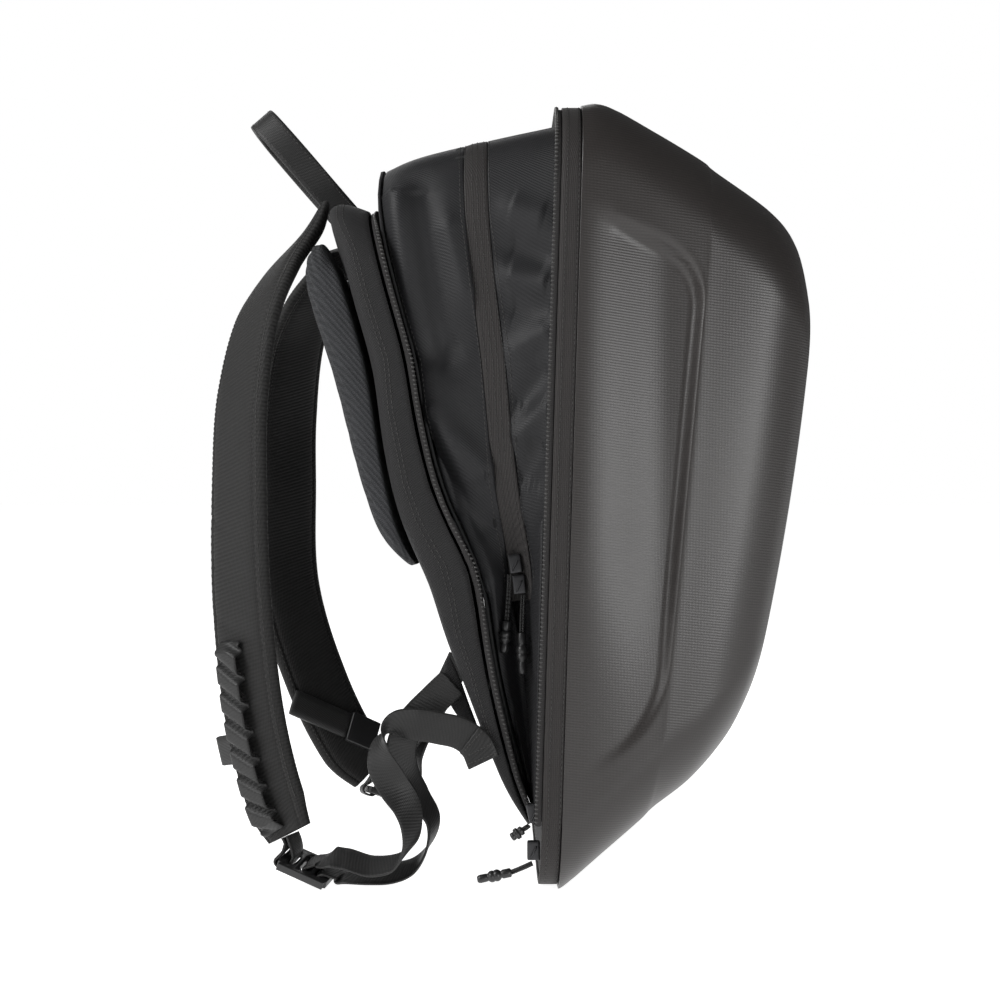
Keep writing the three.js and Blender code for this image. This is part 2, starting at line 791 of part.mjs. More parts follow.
function sternumEnd(name) {
  const frame = sternumFrame(name, webbingThickness * 2);
  const { from, to } = sternumLie[name];
  const steps = 4;
  const along = Array.from({ length: steps + 1 }, (_, i) => ({
    at: move(frame, (lerp(from, to, i / steps) * strapWidth) / 2, 0),
    across: frame.tangent,
    out: frame.out,
  }));
  return webbing(along, webbingWidth, webbingThickness * 2);
}

function box(frame, length, width, thickness) {
  const geometry = new THREE.BoxGeometry(length, width, thickness);
  const out = frame.across.clone().cross(frame.tangent);
  const turn = new THREE.Matrix4().makeBasis(frame.across, frame.tangent, out);
  geometry.applyMatrix4(turn.setPosition(frame.at));
  return joined(geometry);
}

// Joins the corners that faces share.
function joined(geometry) {
  geometry.deleteAttribute('uv');
  geometry.deleteAttribute('normal');
  const merged = mergeVertices(geometry, 0.001);
  merged.computeVertexNormals();
  return merged;
}

function sternumSlide() {
  const frame = sternumFrame('right', slideThickness);
  const sideways = (sternumLie.right.to * strapWidth) / 2 + slideLength / 2 + gap;
  return box({ ...frame, at: move(frame, sideways, 0) }, slideLength, webbingWidth + 4, slideThickness);
}

// A ladder-lock buckle slopes down from the strap's end to the floor.
const buckleLie = { slope: 21, yaw: 11, roll: 10, past: 12.5, outwards: 3 };

// Lines across the plate's length and width, as places along each half.
const plateRows = [-1, -0.9, -0.66, -0.42, -0.2, 0.1, 0.36, 0.68, 0.9, 1];
const plateColumns = [-1, -0.76, 0.76, 1];
const plateSlotRows = [2, 4, 6];
const plateCorner = 0.12;

// A place on the plate, drawn in at its corners.
function platePlace(x, y) {
  const atEnd = Math.abs(x) === 1;
  const inEnd = Math.abs(y) === 1 ? plateCorner : plateCorner * 0.3;
  return {
    along: x * (atEnd ? 1 - inEnd : 1) * (buckleLength / 2),
    sideways: y * (atEnd && Math.abs(y) === 1 ? 1 - plateCorner * 1.6 : 1) * (buckleWidth / 2),
  };
}

function buckleFrame(name) {
  const side = sides[name];
  const slope = degrees(buckleLie.slope);
  const along = point(Math.cos(slope), side * Math.sin(degrees(buckleLie.yaw)), -Math.sin(slope)).normalize();
  const across = point(0.25, -side, Math.sin(degrees(buckleLie.roll)));
  across.addScaledVector(along, -across.dot(along)).normalize();
  const up = along.clone().cross(across);
  if (up.z < 0) up.negate();
  const end = strapFrameAt(side, 1, 1, 1)[0].at;
  const reaches = plateRows.flatMap((x) => plateColumns.map((y) => {
    const place = platePlace(x, y);
    return Math.abs(place.along * along.z) + Math.abs(place.sideways * across.z);
  }));
  const drop = Math.max(...reaches) + (buckleThickness / 2) * up.z;
  const middle = point(end.x + buckleLie.past, end.y + side * buckleLie.outwards, drop);
  return { along, across, up, middle };
}

const onBuckle = (frame, x, up, sideways = 0) => frame.middle.clone()
  .addScaledVector(frame.along, x)
  .addScaledVector(frame.up, up)
  .addScaledVector(frame.across, sideways);

// A plate with three slots, made from the sides of its cells.
function buckle(name) {
  const frame = buckleFrame(name);
  const vertices = [];
  const index = (row, column, up) => (row * plateColumns.length + column) * 2 + (up > 0 ? 1 : 0);
  plateRows.forEach((x) => plateColumns.forEach((y) => {
    const place = platePlace(x, y);
    for (const up of [-1, 1]) {
      vertices.push(onBuckle(frame, place.along, (up * buckleThickness) / 2, place.sideways));
    }
  }));
  const solid = (row, column) => row >= 0 && column >= 0 && row < plateRows.length - 1
    && column < plateColumns.length - 1 && !(column === 1 && plateSlotRows.includes(row));
  const triangles = [];
  const quad = (a, b, c, d) => triangles.push([a, b, c], [a, c, d]);
  for (let row = 0; row < plateRows.length - 1; row += 1) {
    for (let column = 0; column < plateColumns.length - 1; column += 1) {
      if (!solid(row, column)) continue;
      const corners = [[row, column], [row + 1, column], [row + 1, column + 1], [row, column + 1]];
      const beside = [[row, column - 1], [row + 1, column], [row, column + 1], [row - 1, column]];
      quad(...corners.map(([r, c]) => index(r, c, 1)));
      quad(...corners.map(([r, c]) => index(r, c, -1)).reverse());
      corners.forEach(([r, c], i) => {
        const [r2, c2] = corners[(i + 1) % 4];
        if (!solid(...beside[i])) quad(index(r, c, -1), index(r2, c2, -1), index(r2, c2, 1), index(r, c, 1));
      });
    }
  }
  return closedGeometry(vertices, triangles);
}

// The short webbing loop that ties the buckle to the strap's end.
function buckleLoop(name) {
  const frame = buckleFrame(name);
  const strapEnd = strapFrameAt(sides[name], 1, 1, 1)[0];
  const run = strapEnd.tangent;
  const sewnAcross = frame.across.clone().addScaledVector(run, -frame.across.dot(run)).normalize();
  const ahead = run.clone().cross(sewnAcross);
  if (ahead.dot(frame.along) < 0) ahead.negate();
  const sewn = (off, down) => strapEnd.at.clone().addScaledVector(ahead, off).addScaledVector(run, down);
  const points = [
    sewn(1.7, 0.7),
    sewn(1.7, 4.2),
    onBuckle(frame, -9.6, 6),
    onBuckle(frame, -10.2, 3),
    onBuckle(frame, -10.2, 0),
    onBuckle(frame, -11.4, -3.8),
    onBuckle(frame, -15, -4.3),
    onBuckle(frame, -19.6, -3.4),
    onBuckle(frame, -20.6, 0),
    onBuckle(frame, -18, 4.4),
    sewn(-1.7, 4.2),
    sewn(-1.7, 0.7),
  ];
  const sewnEnds = [0, 1, points.length - 2, points.length - 1];
  const acrosses = points.map((_, i) => (sewnEnds.includes(i) ? sewnAcross : frame.across).clone());
  return webbing(framesAlong(points, acrosses, 24), webbingWidth * 0.82, webbingThickness);
}

// Cloth wings on the back's lower edge that hold the webbing.
const wingSpread = 126;
const wingStations = [
  { z: 100, reach: 2 },
  { z: 112, reach: 9 },
  { z: 124, reach: 12 },
  { z: 138, reach: 12 },
  { z: 152, reach: 2 },
];
const wingThickness = 2.4;

function wing(side) {
  const face = (y) => wingStations.map((row) => {
    const depth = trayDepthAt(row.z) + 1.6;
    return [behindBack(y, row.z, depth), behindBack(y, row.z, depth + row.reach)];
  });
  return slab(face(side * wingSpread), face(side * (wingSpread + wingThickness)));
}

// The load webbing's way into the buckle: down by the front slot and up by the middle one.
const throughBuckle = (name) => [
  { on: name, x: 13.4, up: 4.6 },
  { on: name, x: 10.6, up: 2.6 },
  { on: name, x: 9.4, up: 0 },
  { on: name, x: 8.2, up: -2.6 },
  { on: name, x: 5.6, up: -4.2 },
  { on: name, x: 2.2, up: -4.2 },
  { on: name, x: -0.2, up: -2.4 },
  { on: name, x: -0.9, up: 0 },
];
const outOfBuckle = (name) => [
  { on: name, x: -1, up: 2.2 },
  { on: name, x: 3, up: 5.8 },
  { on: name, x: 8, up: 9.4 },
];

// Lower webbing by hand-chosen places and crosswise directions, drawn as it hangs.
const looseTail = [
  ...outOfBuckle('left'),
  { at: point(-130.5, -123.5, 19), across: point(0.1, 0.9, 0.4) },
  { at: point(-121.6, -126, 18.5), across: point(0, 0.9, 0.44) },
  { at: point(-104.1, -131, 15.2), across: point(0, 0.9, 0.42) },
  { at: point(-88.9, -135, 19), across: point(0.2, 0.92, 0.35) },
  { at: point(-80, -141, 31), across: point(0.42, 0.9, 0.15) },
  { at: point(-78.8, -145, 45), across: point(0.6, 0.78, 0.2) },
  { at: point(-82, -146, 57), across: point(0.78, 0.55, 0.35) },
  { at: point(-90.1, -145.5, 68.8), across: point(0.88, 0.15, 0.45) },
  { at: point(-96.9, -146.5, 81.5), across: point(0.85, -0.3, 0.4) },
  { at: point(-98.1, -147, 92.9), across: point(0.6, -0.75, 0.3) },
  { at: point(-94.3, -147, 102.4), across: point(0.25, -0.7, 0.65) },
  { at: point(-86.1, -147.2, 106.9), across: point(0, -0.3, 0.95) },
  { at: point(-74.9, -147.5, 107), across: point(0, 0, 1) },
  { at: point(-61.2, -148, 104.7), across: point(0.1, 0, 1) },
  { at: point(-48.8, -148.2, 101.7), across: point(0.3, 0, 0.95) },
  { at: point(-38.8, -149.5, 94.5), across: point(0.7, 0, 0.7) },
  { at: point(-33.9, -150.5, 84.2), across: point(0.92, 0, 0.38) },
];
const looseLoad = [
  { at: point(-54, -129.8, 131), across: point(0.66, 0, -0.75) },
  { at: point(-66, -130.2, 119.6), across: point(0.7, 0.05, -0.7) },
  { at: point(-79.6, -131, 105.7), across: point(0.8, 0.3, -0.5) },
  { at: point(-86, -131, 91.2), across: point(0.92, 0.35, -0.2) },
  { at: point(-84.7, -130, 75.4), across: point(0.88, 0.45, 0) },
  { at: point(-76, -129, 59.6), across: point(0.7, 0.68, 0) },
  { at: point(-66.5, -126, 43.8), across: point(0.38, 0.92, 0) },
  { at: point(-68.4, -126.5, 29.2), across: point(0.2, 0.95, 0.15) },
  { at: point(-79, -128, 14.8), across: point(0.05, 0.93, 0.34) },
  { at: point(-92, -127, 9.8), across: point(0, 0.9, 0.42) },
  { at: point(-108, -125.5, 8.4), across: point(0, 0.92, 0.38) },
  { at: point(-119, -124.5, 8.2), across: point(0.1, 0.94, 0.3) },
  { on: 'left', x: 24, up: 6 },
  { on: 'left', x: 17.6, up: 5.4 },
  ...throughBuckle('left'),
];
// The right side's webbing hangs nearly straight, with its tail lying along it.
const straightLoad = [
  { at: point(-56, 129.9, 119), across: point(0.75, 0, -0.6) },
  { at: point(-67, 130.8, 96), across: point(0.8, -0.2, -0.5) },
  { at: point(-83, 124, 66), across: point(0.65, -0.6, -0.4) },
  { at: point(-91, 120, 42), across: point(0.5, -0.8, -0.2) },
  { at: point(-90.5, 119, 25), across: point(0.35, -0.9, 0) },
  { at: point(-93.5, 118.6, 13.5), across: point(0.26, -0.95, 0.16) },
  ...throughBuckle('right'),
];
const straightTail = [
  ...outOfBuckle('right'),
  { at: point(-105.5, 116, 25), across: point(0.3, -0.92, 0.1) },
  { at: point(-101.5, 116.4, 42), across: point(0.5, -0.8, -0.2) },
  { at: point(-85.6, 120, 68), across: point(0.65, -0.6, -0.4) },
  { at: point(-67.8, 125.6, 97.6), across: point(0.8, -0.2, -0.5) },
];
const wavySteps = 36;
const straightSteps = 34;

function ribbon(rows, steps) {
  const places = rows.map((row) => {
    if (!row.on) return row;
    const frame = buckleFrame(row.on);
    return { at: onBuckle(frame, row.x, row.up), across: frame.across };
  });
  const points = places.map((row) => row.at);
  const acrosses = places.map((row) => row.across.clone().normalize());
  return webbing(framesAlong(points, acrosses, steps), webbingWidth, webbingThickness);
}

// Zip pulls by the places of their cords, each with the slider it hangs from.
const pulls = {
  rear: [point(-18, -132, 199.2), point(-18.4, -132.5, 190), point(-19.8, -133, 170), point(-21.6, -134.5, 150)],
  front: [point(-9.5, -133, 186.4), point(-10, -134, 176), point(-10.4, -136, 163), point(-9.8, -139, 137)],
  hinge: [point(-6, -151.4, 45.5), point(-7.6, -152, 44.5), point(-10, -152, 43), point(-17, -152, 38)],
  foot: [point(-4, -150.5, 22), point(-9.5, -151, 19.6), point(-17, -151, 16.5), point(-38, -151, 12)],
};
// Thickness of a pull's end along its run, as shares of pullSleeve.
const pullShape = [
  { at: 0, wide: 0.8 },
  { at: 0.02, wide: 1 },
  { at: 0.28, wide: 1 },
  { at: 0.36, wide: 1.2 },
  { at: 0.55, wide: 1.32 },
  { at: 0.68, wide: 0.86 },
  { at: 0.98, wide: 0.92 },
  { at: 1, wide: 0.7 },
];
const pullSides = 7;

function roundRing(at, tangent, diameter) {
  const across = point(-tangent.z, 0, tangent.x).normalize();
  const out = new THREE.Vector3().crossVectors(tangent, across).normalize();
  return Array.from({ length: pullSides }, (_, i) => {
    const angle = (2 * Math.PI * i) / pullSides;
    return at.clone()
      .addScaledVector(across, (Math.cos(angle) * diameter) / 2)
      .addScaledVector(out, (Math.sin(angle) * diameter) / 2);
  });
}

function pullCordOf([start, bend, end]) {
  const line = new THREE.CatmullRomCurve3([start, bend, end], false, 'centripetal');
  const shares = [0, 0.33, 0.66, 1];
  return tube(shares.map((share) => roundRing(line.getPoint(share), line.getTangent(share), pullCord)));
}

function pullEndOf([, , start, end]) {
  const tangent = end.clone().sub(start).normalize();
  const seat = start.clone().addScaledVector(tangent, gap);
  return tube(pullShape.map((row) => roundRing(seat.clone().lerp(end, row.at), tangent, pullSleeve * row.wide)));
}

// Zip sliders, each a small block over the end of its zip.
const sliders = {
  rear: { at: point(-14.5, -131.8, 206), along: point(-0.15, 0, 1) },
  front: { at: point(-12, -132.4, 193), along: point(-0.1, 0, 1) },
  hinge: { at: point(-3, -149.5, 53), along: point(-0.2, 0, 1) },
  foot: { at: point(-3.3, -150.2, 30), along: point(0, 0, 1) },
};

function slider(name) {
  const { at, along } = sliders[name];
  const tangent = along.clone().normalize();
  const across = point(tangent.z, 0, -tangent.x);
  return box({ at, tangent, across }, sliderWidth, sliderLength, sliderThickness);
}

// The body's own group, with the shapes placed in it by name.
const backpack = new THREE.Group();

const finishes = {
  shell: { color: 0x55514e, roughness: 0.42, metalness: 0 },
  cloth: { color: 0x1b1b1c, roughness: 0.85, metalness: 0 },
  binding: { color: 0x2a2828, roughness: 0.8, metalness: 0 },
  mesh: { color: 0x222324, roughness: 0.9, metalness: 0 },
  webbing: { color: 0x1c1c1c, roughness: 0.7, metalness: 0 },
  plastic: { color: 0x262626, roughness: 0.5, metalness: 0 },
  metal: { color: 0x3a3a3c, roughness: 0.35, metalness: 0.9 },
};

function add(name, geometry, finish) {
  const mesh = new THREE.Mesh(geometry, new THREE.MeshStandardMaterial(finishes[finish]));
  mesh.name = name;
  backpack.add(mesh);
  return mesh;
}

add('hard_shell', hardShell(), 'shell');
add('rim_band', rimBand(), 'binding');
add('rim_zip', rimZip(), 'cloth');
add('hinge_panel', hingePanel(), 'cloth');
add('gusset_rear', bagPanel(() => 0, zipRear), 'cloth');
add('gusset_front', bagPanel(zipFront, () => 1), 'cloth');
add('main_zip', mainZip(), 'binding');
add('bag_back_wall', bagBackWall(), 'cloth');
add('back_tray', backTray(), 'cloth');
add('back_zip', backZip(), 'cloth');
add('grab_handle', grabHandle(), 'webbing');
for (const [name, side] of Object.entries(sides)) {
  add(`back_pad_${name}`, backPad(side), 'mesh');
  add(`strap_${name}`, shoulderStrap(side), 'cloth');
  add(`daisy_${name}`, daisyChain(side), 'webbing');
  add(`sternum_${name}`, sternumEnd(name), 'webbing');
  add(`buckle_${name}`, buckle(name), 'plastic');
  add(`buckle_loop_${name}`, buckleLoop(name), 'webbing');
  add(`wing_${name}`, wing(side), 'cloth');
}

add('sternum_slide', sternumSlide(), 'plastic');
add('tail_web_left', ribbon(looseTail, wavySteps), 'webbing');
add('load_web_left', ribbon(looseLoad, wavySteps), 'webbing');
add('tail_web_right', ribbon(straightTail, straightSteps), 'webbing');
add('load_web_right', ribbon(straightLoad, straightSteps), 'webbing');
for (const name of Object.keys(pulls)) {
  add(`slider_${name}`, slider(name), 'metal');
  add(`pull_cord_${name}`, pullCordOf(pulls[name]), 'webbing');
  add(`pull_end_${name}`, pullEndOf(pulls[name]), 'plastic');
}

// Set the footprint's middle on the origin.
const extent = new THREE.Box3().setFromObject(backpack);
const centre = extent.getCenter(new THREE.Vector3());
backpack.position.set(-centre.x, -centre.y, -extent.min.z);

export default backpack;
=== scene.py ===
# Hard shell backpack, dressed for rendering. Metres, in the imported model's frame.
import json
import math

import bmesh
import bpy
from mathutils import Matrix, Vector
from mathutils.bvhtree import BVHTree

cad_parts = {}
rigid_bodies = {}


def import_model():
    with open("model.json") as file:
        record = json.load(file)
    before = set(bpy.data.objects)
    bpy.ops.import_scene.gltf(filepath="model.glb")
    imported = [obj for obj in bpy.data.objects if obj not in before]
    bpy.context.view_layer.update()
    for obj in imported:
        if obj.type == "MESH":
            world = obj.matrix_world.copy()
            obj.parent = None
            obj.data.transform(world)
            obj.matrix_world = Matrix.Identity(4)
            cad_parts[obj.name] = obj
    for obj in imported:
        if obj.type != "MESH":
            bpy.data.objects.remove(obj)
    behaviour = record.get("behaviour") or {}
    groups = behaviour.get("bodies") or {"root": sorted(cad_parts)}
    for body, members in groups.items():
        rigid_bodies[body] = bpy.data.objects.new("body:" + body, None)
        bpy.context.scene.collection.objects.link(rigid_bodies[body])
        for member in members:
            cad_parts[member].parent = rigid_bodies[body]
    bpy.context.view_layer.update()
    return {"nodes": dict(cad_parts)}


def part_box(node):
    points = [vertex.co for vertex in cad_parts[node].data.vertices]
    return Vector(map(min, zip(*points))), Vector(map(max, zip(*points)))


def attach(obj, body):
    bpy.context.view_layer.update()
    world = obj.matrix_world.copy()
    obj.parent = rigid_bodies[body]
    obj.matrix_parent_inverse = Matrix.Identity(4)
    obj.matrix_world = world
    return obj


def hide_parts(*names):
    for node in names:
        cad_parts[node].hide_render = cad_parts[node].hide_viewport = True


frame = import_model()
nodes = frame["nodes"]
objects = bpy.context.scene.collection.objects

# The camera stands level at the pack's left side.
view = {"place": (-0.003, -1.05, 0.246), "lens": 52.5, "sensor": 36}
cameraData = bpy.data.cameras.new("camera")
cameraData.lens = view["lens"]
cameraData.sensor_width = view["sensor"]
camera = bpy.data.objects.new("camera", cameraData)
camera.location = view["place"]
camera.rotation_euler = (math.pi / 2, 0, 0)
objects.link(camera)
bpy.context.scene.camera = camera
print("camera set")


# Shader maths: a wire is one socket, and sums on it add Math nodes.
class Wire:
    def __init__(self, finish, socket):
        self.finish = finish
        self.socket = socket

    def work(self, operation, *terms):
        return self.finish.node("ShaderNodeMath", {"operation": operation}, dict(enumerate(terms)))

    def __add__(self, other):
        return self.work("ADD", self, other)

    def __radd__(self, other):
        return self.work("ADD", other, self)

    def __sub__(self, other):
        return self.work("SUBTRACT", self, other)

    def __rsub__(self, other):
        return self.work("SUBTRACT", other, self)

    def __mul__(self, other):
        return self.work("MULTIPLY", self, other)

    def __rmul__(self, other):
        return self.work("MULTIPLY", other, self)


class Finish:
    def __init__(self, name, slot, fixed):
        self.slot = slot
        self.material = bpy.data.materials.new(name)
        self.material.use_nodes = True
        self.tree = self.material.node_tree
        self.shader = self.tree.nodes["Principled BSDF"]
        self.feed(self.shader, fixed)

    def feed(self, node, inputs):
        for key, value in inputs.items():
            if isinstance(value, Wire):
                self.tree.links.new(value.socket, node.inputs[key])
            else:
                node.inputs[key].default_value = value

    def node(self, kind, settings=None, inputs=None, output=0):
        made = self.tree.nodes.new(kind)
        for key, value in (settings or {}).items():
            setattr(made, key, value)
        self.feed(made, inputs or {})
        return Wire(self, made.outputs[output])

    # The place on the surface: the frame's own axes, or along and across a strip.
    def place(self, strip=False):
        if strip:
            source = self.node("ShaderNodeAttribute", {"attribute_name": "lie"}, output="Vector")
        else:
            source = self.node("ShaderNodeTexCoord", output="Object")
        parts = self.tree.nodes.new("ShaderNodeSeparateXYZ")
        self.feed(parts, {0: source})
        return source, [Wire(self, parts.outputs[i]) for i in range(3)]

    def ribs(self, parts, direction, pitch):
        terms = [part * share for part, share in zip(parts, direction) if share]
        total = terms[0]
        for term in terms[1:]:
            total = total + term
        wave = total * (2 * math.pi / pitch)
        return wave.work("SINE", wave) * 0.5 + 0.5

    def blotch(self, source, scale, detail=3):
        inputs = {"Vector": source, "Scale": scale, "Detail": detail}
        return self.node("ShaderNodeTexNoise", {}, inputs, "Fac")

    def mixed(self, factor, low, high):
        colours = {0: factor, 6: (*low, 1), 7: (*high, 1)}
        return self.node("ShaderNodeMix", {"data_type": "RGBA"}, colours, 2)

    def raised(self, height, depth, strength=1.0):
        inputs = {"Height": height, "Distance": depth, "Strength": strength}
        return self.node("ShaderNodeBump", {}, inputs)

    def show(self, **inputs):
        self.feed(self.shader, {key.replace("_", " "): value for key, value in inputs.items()})
        return self


# Rows of a table, each with its columns' names.
def named(columns, rows):
    return [dict(zip(columns, row)) for row in rows]


# Cloth with a main rib and a finer cross thread.
def clothFinish(name, slot, look):
    finish = Finish(name, slot, {
        "Sheen Weight": 0.03,
        "Sheen Roughness": 0.5,
        "Specular IOR Level": look.get("gloss", 0.2),
    })
    source, parts = finish.place(look.get("strip", False))
    rib = finish.ribs(parts, look["rib"], look["pitch"])
    thread = finish.ribs(parts, look["thread"], look["threadPitch"])
    weave = rib * 0.65 + thread * 0.35
    wear = finish.blotch(source, 18)
    grain = finish.blotch(source, 900, 2)
    shade = weave * 0.5 + wear * 0.35 + grain * 0.25
    colour = finish.mixed(shade, look["dark"], look["light"])
    rough = look["rough"] + wear * 0.12 - weave * 0.06
    height = weave + grain * 0.5
    return finish.show(Base_Color=colour, Roughness=rough, Normal=finish.raised(height, look["depth"]))


def shellFinish():
    finish = Finish("satinShell", "shell", {"Coat Roughness": 0.38, "Specular IOR Level": 0.36})
    source, parts = finish.place()
    rows = finish.ribs(parts, (0.12, 0, 1), 0.0017)
    columns = finish.ribs(parts, (1, 0.8, 0), 0.0021)
    wear = finish.blotch(source, 9)
    grain = finish.blotch(source, 1400, 2)
    shade = rows * 0.34 + columns * 0.12 + wear * 0.3 + grain * 0.24
    colour = finish.mixed(shade, (0.0125, 0.0108, 0.0102), (0.034, 0.0305, 0.029))
    rough = 0.3 + wear * 0.07 + grain * 0.06
    height = rows * 0.7 + columns * 0.2 + grain * 0.4
    return finish.show(Base_Color=colour, Roughness=rough, Coat_Weight=0.12 + wear * 0.08,
                       Normal=finish.raised(height, 0.00009, 0.8))


def mouldedFinish(name, slot, look):
    finish = Finish(name, slot, {"Metallic": look.get("metal", 0.0), "Specular IOR Level": 0.5})
    source, parts = finish.place()
    grain = finish.blotch(source, 1600, 2)
    wear = finish.blotch(source, 60)
    colour = finish.mixed(wear * 0.7 + grain * 0.3, look["dark"], look["light"])
    return finish.show(Base_Color=colour, Roughness=look["rough"] + wear * 0.1,
                       Normal=finish.raised(grain, look["depth"], 0.7))


clothColumns = ("rib", "pitch", "thread", "threadPitch", "dark", "light", "rough", "depth")
clothRows = {
    "twill": ("twillCloth", "cloth", {"gloss": 0.26}, (
        (0.72, 0.5, 1), 0.0019, (1, 0.4, -0.8), 0.0012,
        (0.004, 0.004, 0.0045), (0.014, 0.014, 0.0155), 0.5, 0.00016)),
    "backCloth": ("backCloth", "cloth", {}, (
        (-0.7, 0.5, 1), 0.0017, (1, 0.6, 0.7), 0.0012,
        (0.005, 0.005, 0.0053), (0.022, 0.0215, 0.022), 0.68, 0.0002)),
    "lining": ("liningCloth", "cloth", {}, (
        (0, 1, 0.2), 0.0012, (1, 0, 1), 0.0012,
        (0.008, 0.008, 0.008), (0.022, 0.022, 0.023), 0.75, 0.0001)),
    "binding": ("ribbedBinding", "binding", {}, (
        (1, 1, 0.03), 0.0013, (0, 0.3, 1), 0.0011,
        (0.01, 0.009, 0.009), (0.036, 0.033, 0.032), 0.62, 0.00018)),
    "tape": ("zipTape", "zip", {}, (
        (0.1, 0.2, 1), 0.0011, (1, 1, 0), 0.0013,
        (0.01, 0.01, 0.01), (0.032, 0.03, 0.03), 0.7, 0.00012)),
    "mesh": ("airMesh", "mesh", {}, (
        (1, 0.5, 0.85), 0.0036, (0.8, 0.6, -1), 0.0015,
        (0.008, 0.0085, 0.009), (0.042, 0.043, 0.046), 0.82, 0.0005)),
    "webbing": ("wovenWebbing", "webbing", {"strip": True, "gloss": 0.35}, (
        (1, 0.35, 0), 0.0021, (0, 1, 0), 0.0011,
        (0.0028, 0.0028, 0.0028), (0.013, 0.0128, 0.0126), 0.46, 0.00012)),
    "tiedWebbing": ("sewnWebbing", "webbing", {"gloss": 0.4}, (
        (0.7, 0.5, 1), 0.0019, (1, 0.2, -1), 0.0012,
        (0.004, 0.004, 0.004), (0.018, 0.0178, 0.0175), 0.5, 0.00012)),
    "strapCloth": ("strapCloth", "cloth", {"strip": True}, (
        (1, 0.22, 0), 0.0026, (0.2, 1, 0), 0.0014,
        (0.004, 0.0039, 0.0039), (0.019, 0.0185, 0.018), 0.62, 0.00026)),
}
finishes = {"shell": shellFinish()}
for name, (title, slot, extra, row) in clothRows.items():
    finishes[name] = clothFinish(title, slot, {**dict(zip(clothColumns, row)), **extra})
finishes.update({
    "thread": mouldedFinish("sewingThread", "cloth", {
        "dark": (0.013, 0.0126, 0.0122), "light": (0.034, 0.0325, 0.031), "rough": 0.6, "depth": 0.00005,
    }),
    "teeth": mouldedFinish("zipTeeth", "zip", {
        "dark": (0.012, 0.012, 0.012), "light": (0.05, 0.048, 0.046), "rough": 0.35, "depth": 0.00004,
    }),
    "plastic": mouldedFinish("mouldedPlastic", "plastic", {
        "dark": (0.006, 0.006, 0.0063), "light": (0.015, 0.015, 0.0155), "rough": 0.34, "depth": 0.00005,
    }),
    "lacquer": mouldedFinish("lacqueredMetal", "slider", {
        "dark": (0.02, 0.02, 0.021), "light": (0.045, 0.045, 0.048), "rough": 0.28, "depth": 0.00003,
        "metal": 0.6,
    }),
})
print("finishes made:", len(finishes))


# Puts a mesh in the scene as a named piece with its finish.
def addPiece(name, form, finish, standsFor=()):
    mesh = bpy.data.meshes.new(name)
    form.to_mesh(mesh)
    form.free()
    return dressPiece(bpy.data.objects.new(name, mesh), finish, standsFor)


def dressPiece(piece, finish, standsFor=()):
    if piece.name not in objects:
        objects.link(piece)
    piece.data.materials.clear()
    piece.data.materials.append(finishes[finish].material)
    piece.data.polygons.foreach_set("use_smooth", [True] * len(piece.data.polygons))
    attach(piece, "root")
    if standsFor:
        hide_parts(*standsFor)
    return piece


# Applies a piece's modifiers, so that its mesh is the shape that shows.
def settle(piece):
    shaped = piece.evaluated_get(bpy.context.evaluated_depsgraph_get())
    mesh = bpy.data.meshes.new_from_object(shaped)
    piece.modifiers.clear()
    piece.data = mesh
    return piece


# A smooth piece over a plain solid: quads, creases at sharp edges, then subdivided and shaped.
def softened(node, finish, look, shape=None):
    form = bmesh.new()
    form.from_mesh(nodes[node].data)
    bmesh.ops.remove_doubles(form, verts=form.verts, dist=2e-5)
    bmesh.ops.join_triangles(form, faces=form.faces, cmp_seam=False, cmp_sharp=False, cmp_uvs=False,
                             angle_face_threshold=math.radians(30),
                             angle_shape_threshold=math.radians(140))
    sharpness = form.edges.layers.float.new("crease_edge")
    for edge in form.edges:
        if len(edge.link_faces) == 2 and edge.calc_face_angle(0) > math.radians(look.get("crease", 55)):
            edge[sharpness] = look.get("sharp", 0.8)
    mesh = bpy.data.meshes.new(node)
    form.to_mesh(mesh)
    form.free()
    piece = bpy.data.objects.new(look.get("name", node + "Soft"), mesh)
    objects.link(piece)
    if look.get("bevel"):
        bevel = piece.modifiers.new("edges", "BEVEL")
        bevel.width = look["bevel"]
        bevel.segments = 3
        bevel.limit_method = "ANGLE"
        bevel.angle_limit = math.radians(30)
    if look.get("levels"):
        divide = piece.modifiers.new("smooth", "SUBSURF")
        divide.levels = look["levels"]
        divide.render_levels = look["levels"]
    settle(piece)
    if shape:
        normals = [vertex.normal.copy() for vertex in piece.data.vertices]
        for vertex, normal in zip(piece.data.vertices, normals):
            vertex.co += normal * shape(vertex.co, normal)
    return dressPiece(piece, finish, [node])


# A smooth line through points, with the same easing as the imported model's lines.
def onLine(points, share):
    place = (len(points) - 1) * min(max(share, 0), 1)
    index = min(int(place), len(points) - 2)
    part = place - index
    b, c = points[index], points[index + 1]
    a = points[index - 1] if index else b + (b - c)
    d = points[index + 2] if index + 2 < len(points) else c + (c - b)
    steps = [(q - p).length_squared ** 0.25 for p, q in ((a, b), (b, c), (c, d))]
    middle = steps[1] if steps[1] > 1e-4 else 1
    before = steps[0] if steps[0] > 1e-4 else middle
    after = steps[2] if steps[2] > 1e-4 else middle
    leave = ((b - a) / before - (c - a) / (before + middle) + (c - b) / middle) * middle
    reach = ((c - b) / middle - (d - b) / (middle + after) + (d - c) / after) * middle
    bend = b * -3 + c * 3 - leave * 2 - reach
    close = b * 2 - c * 2 + leave + reach
    return b + leave * part + bend * part ** 2 + close * part ** 3


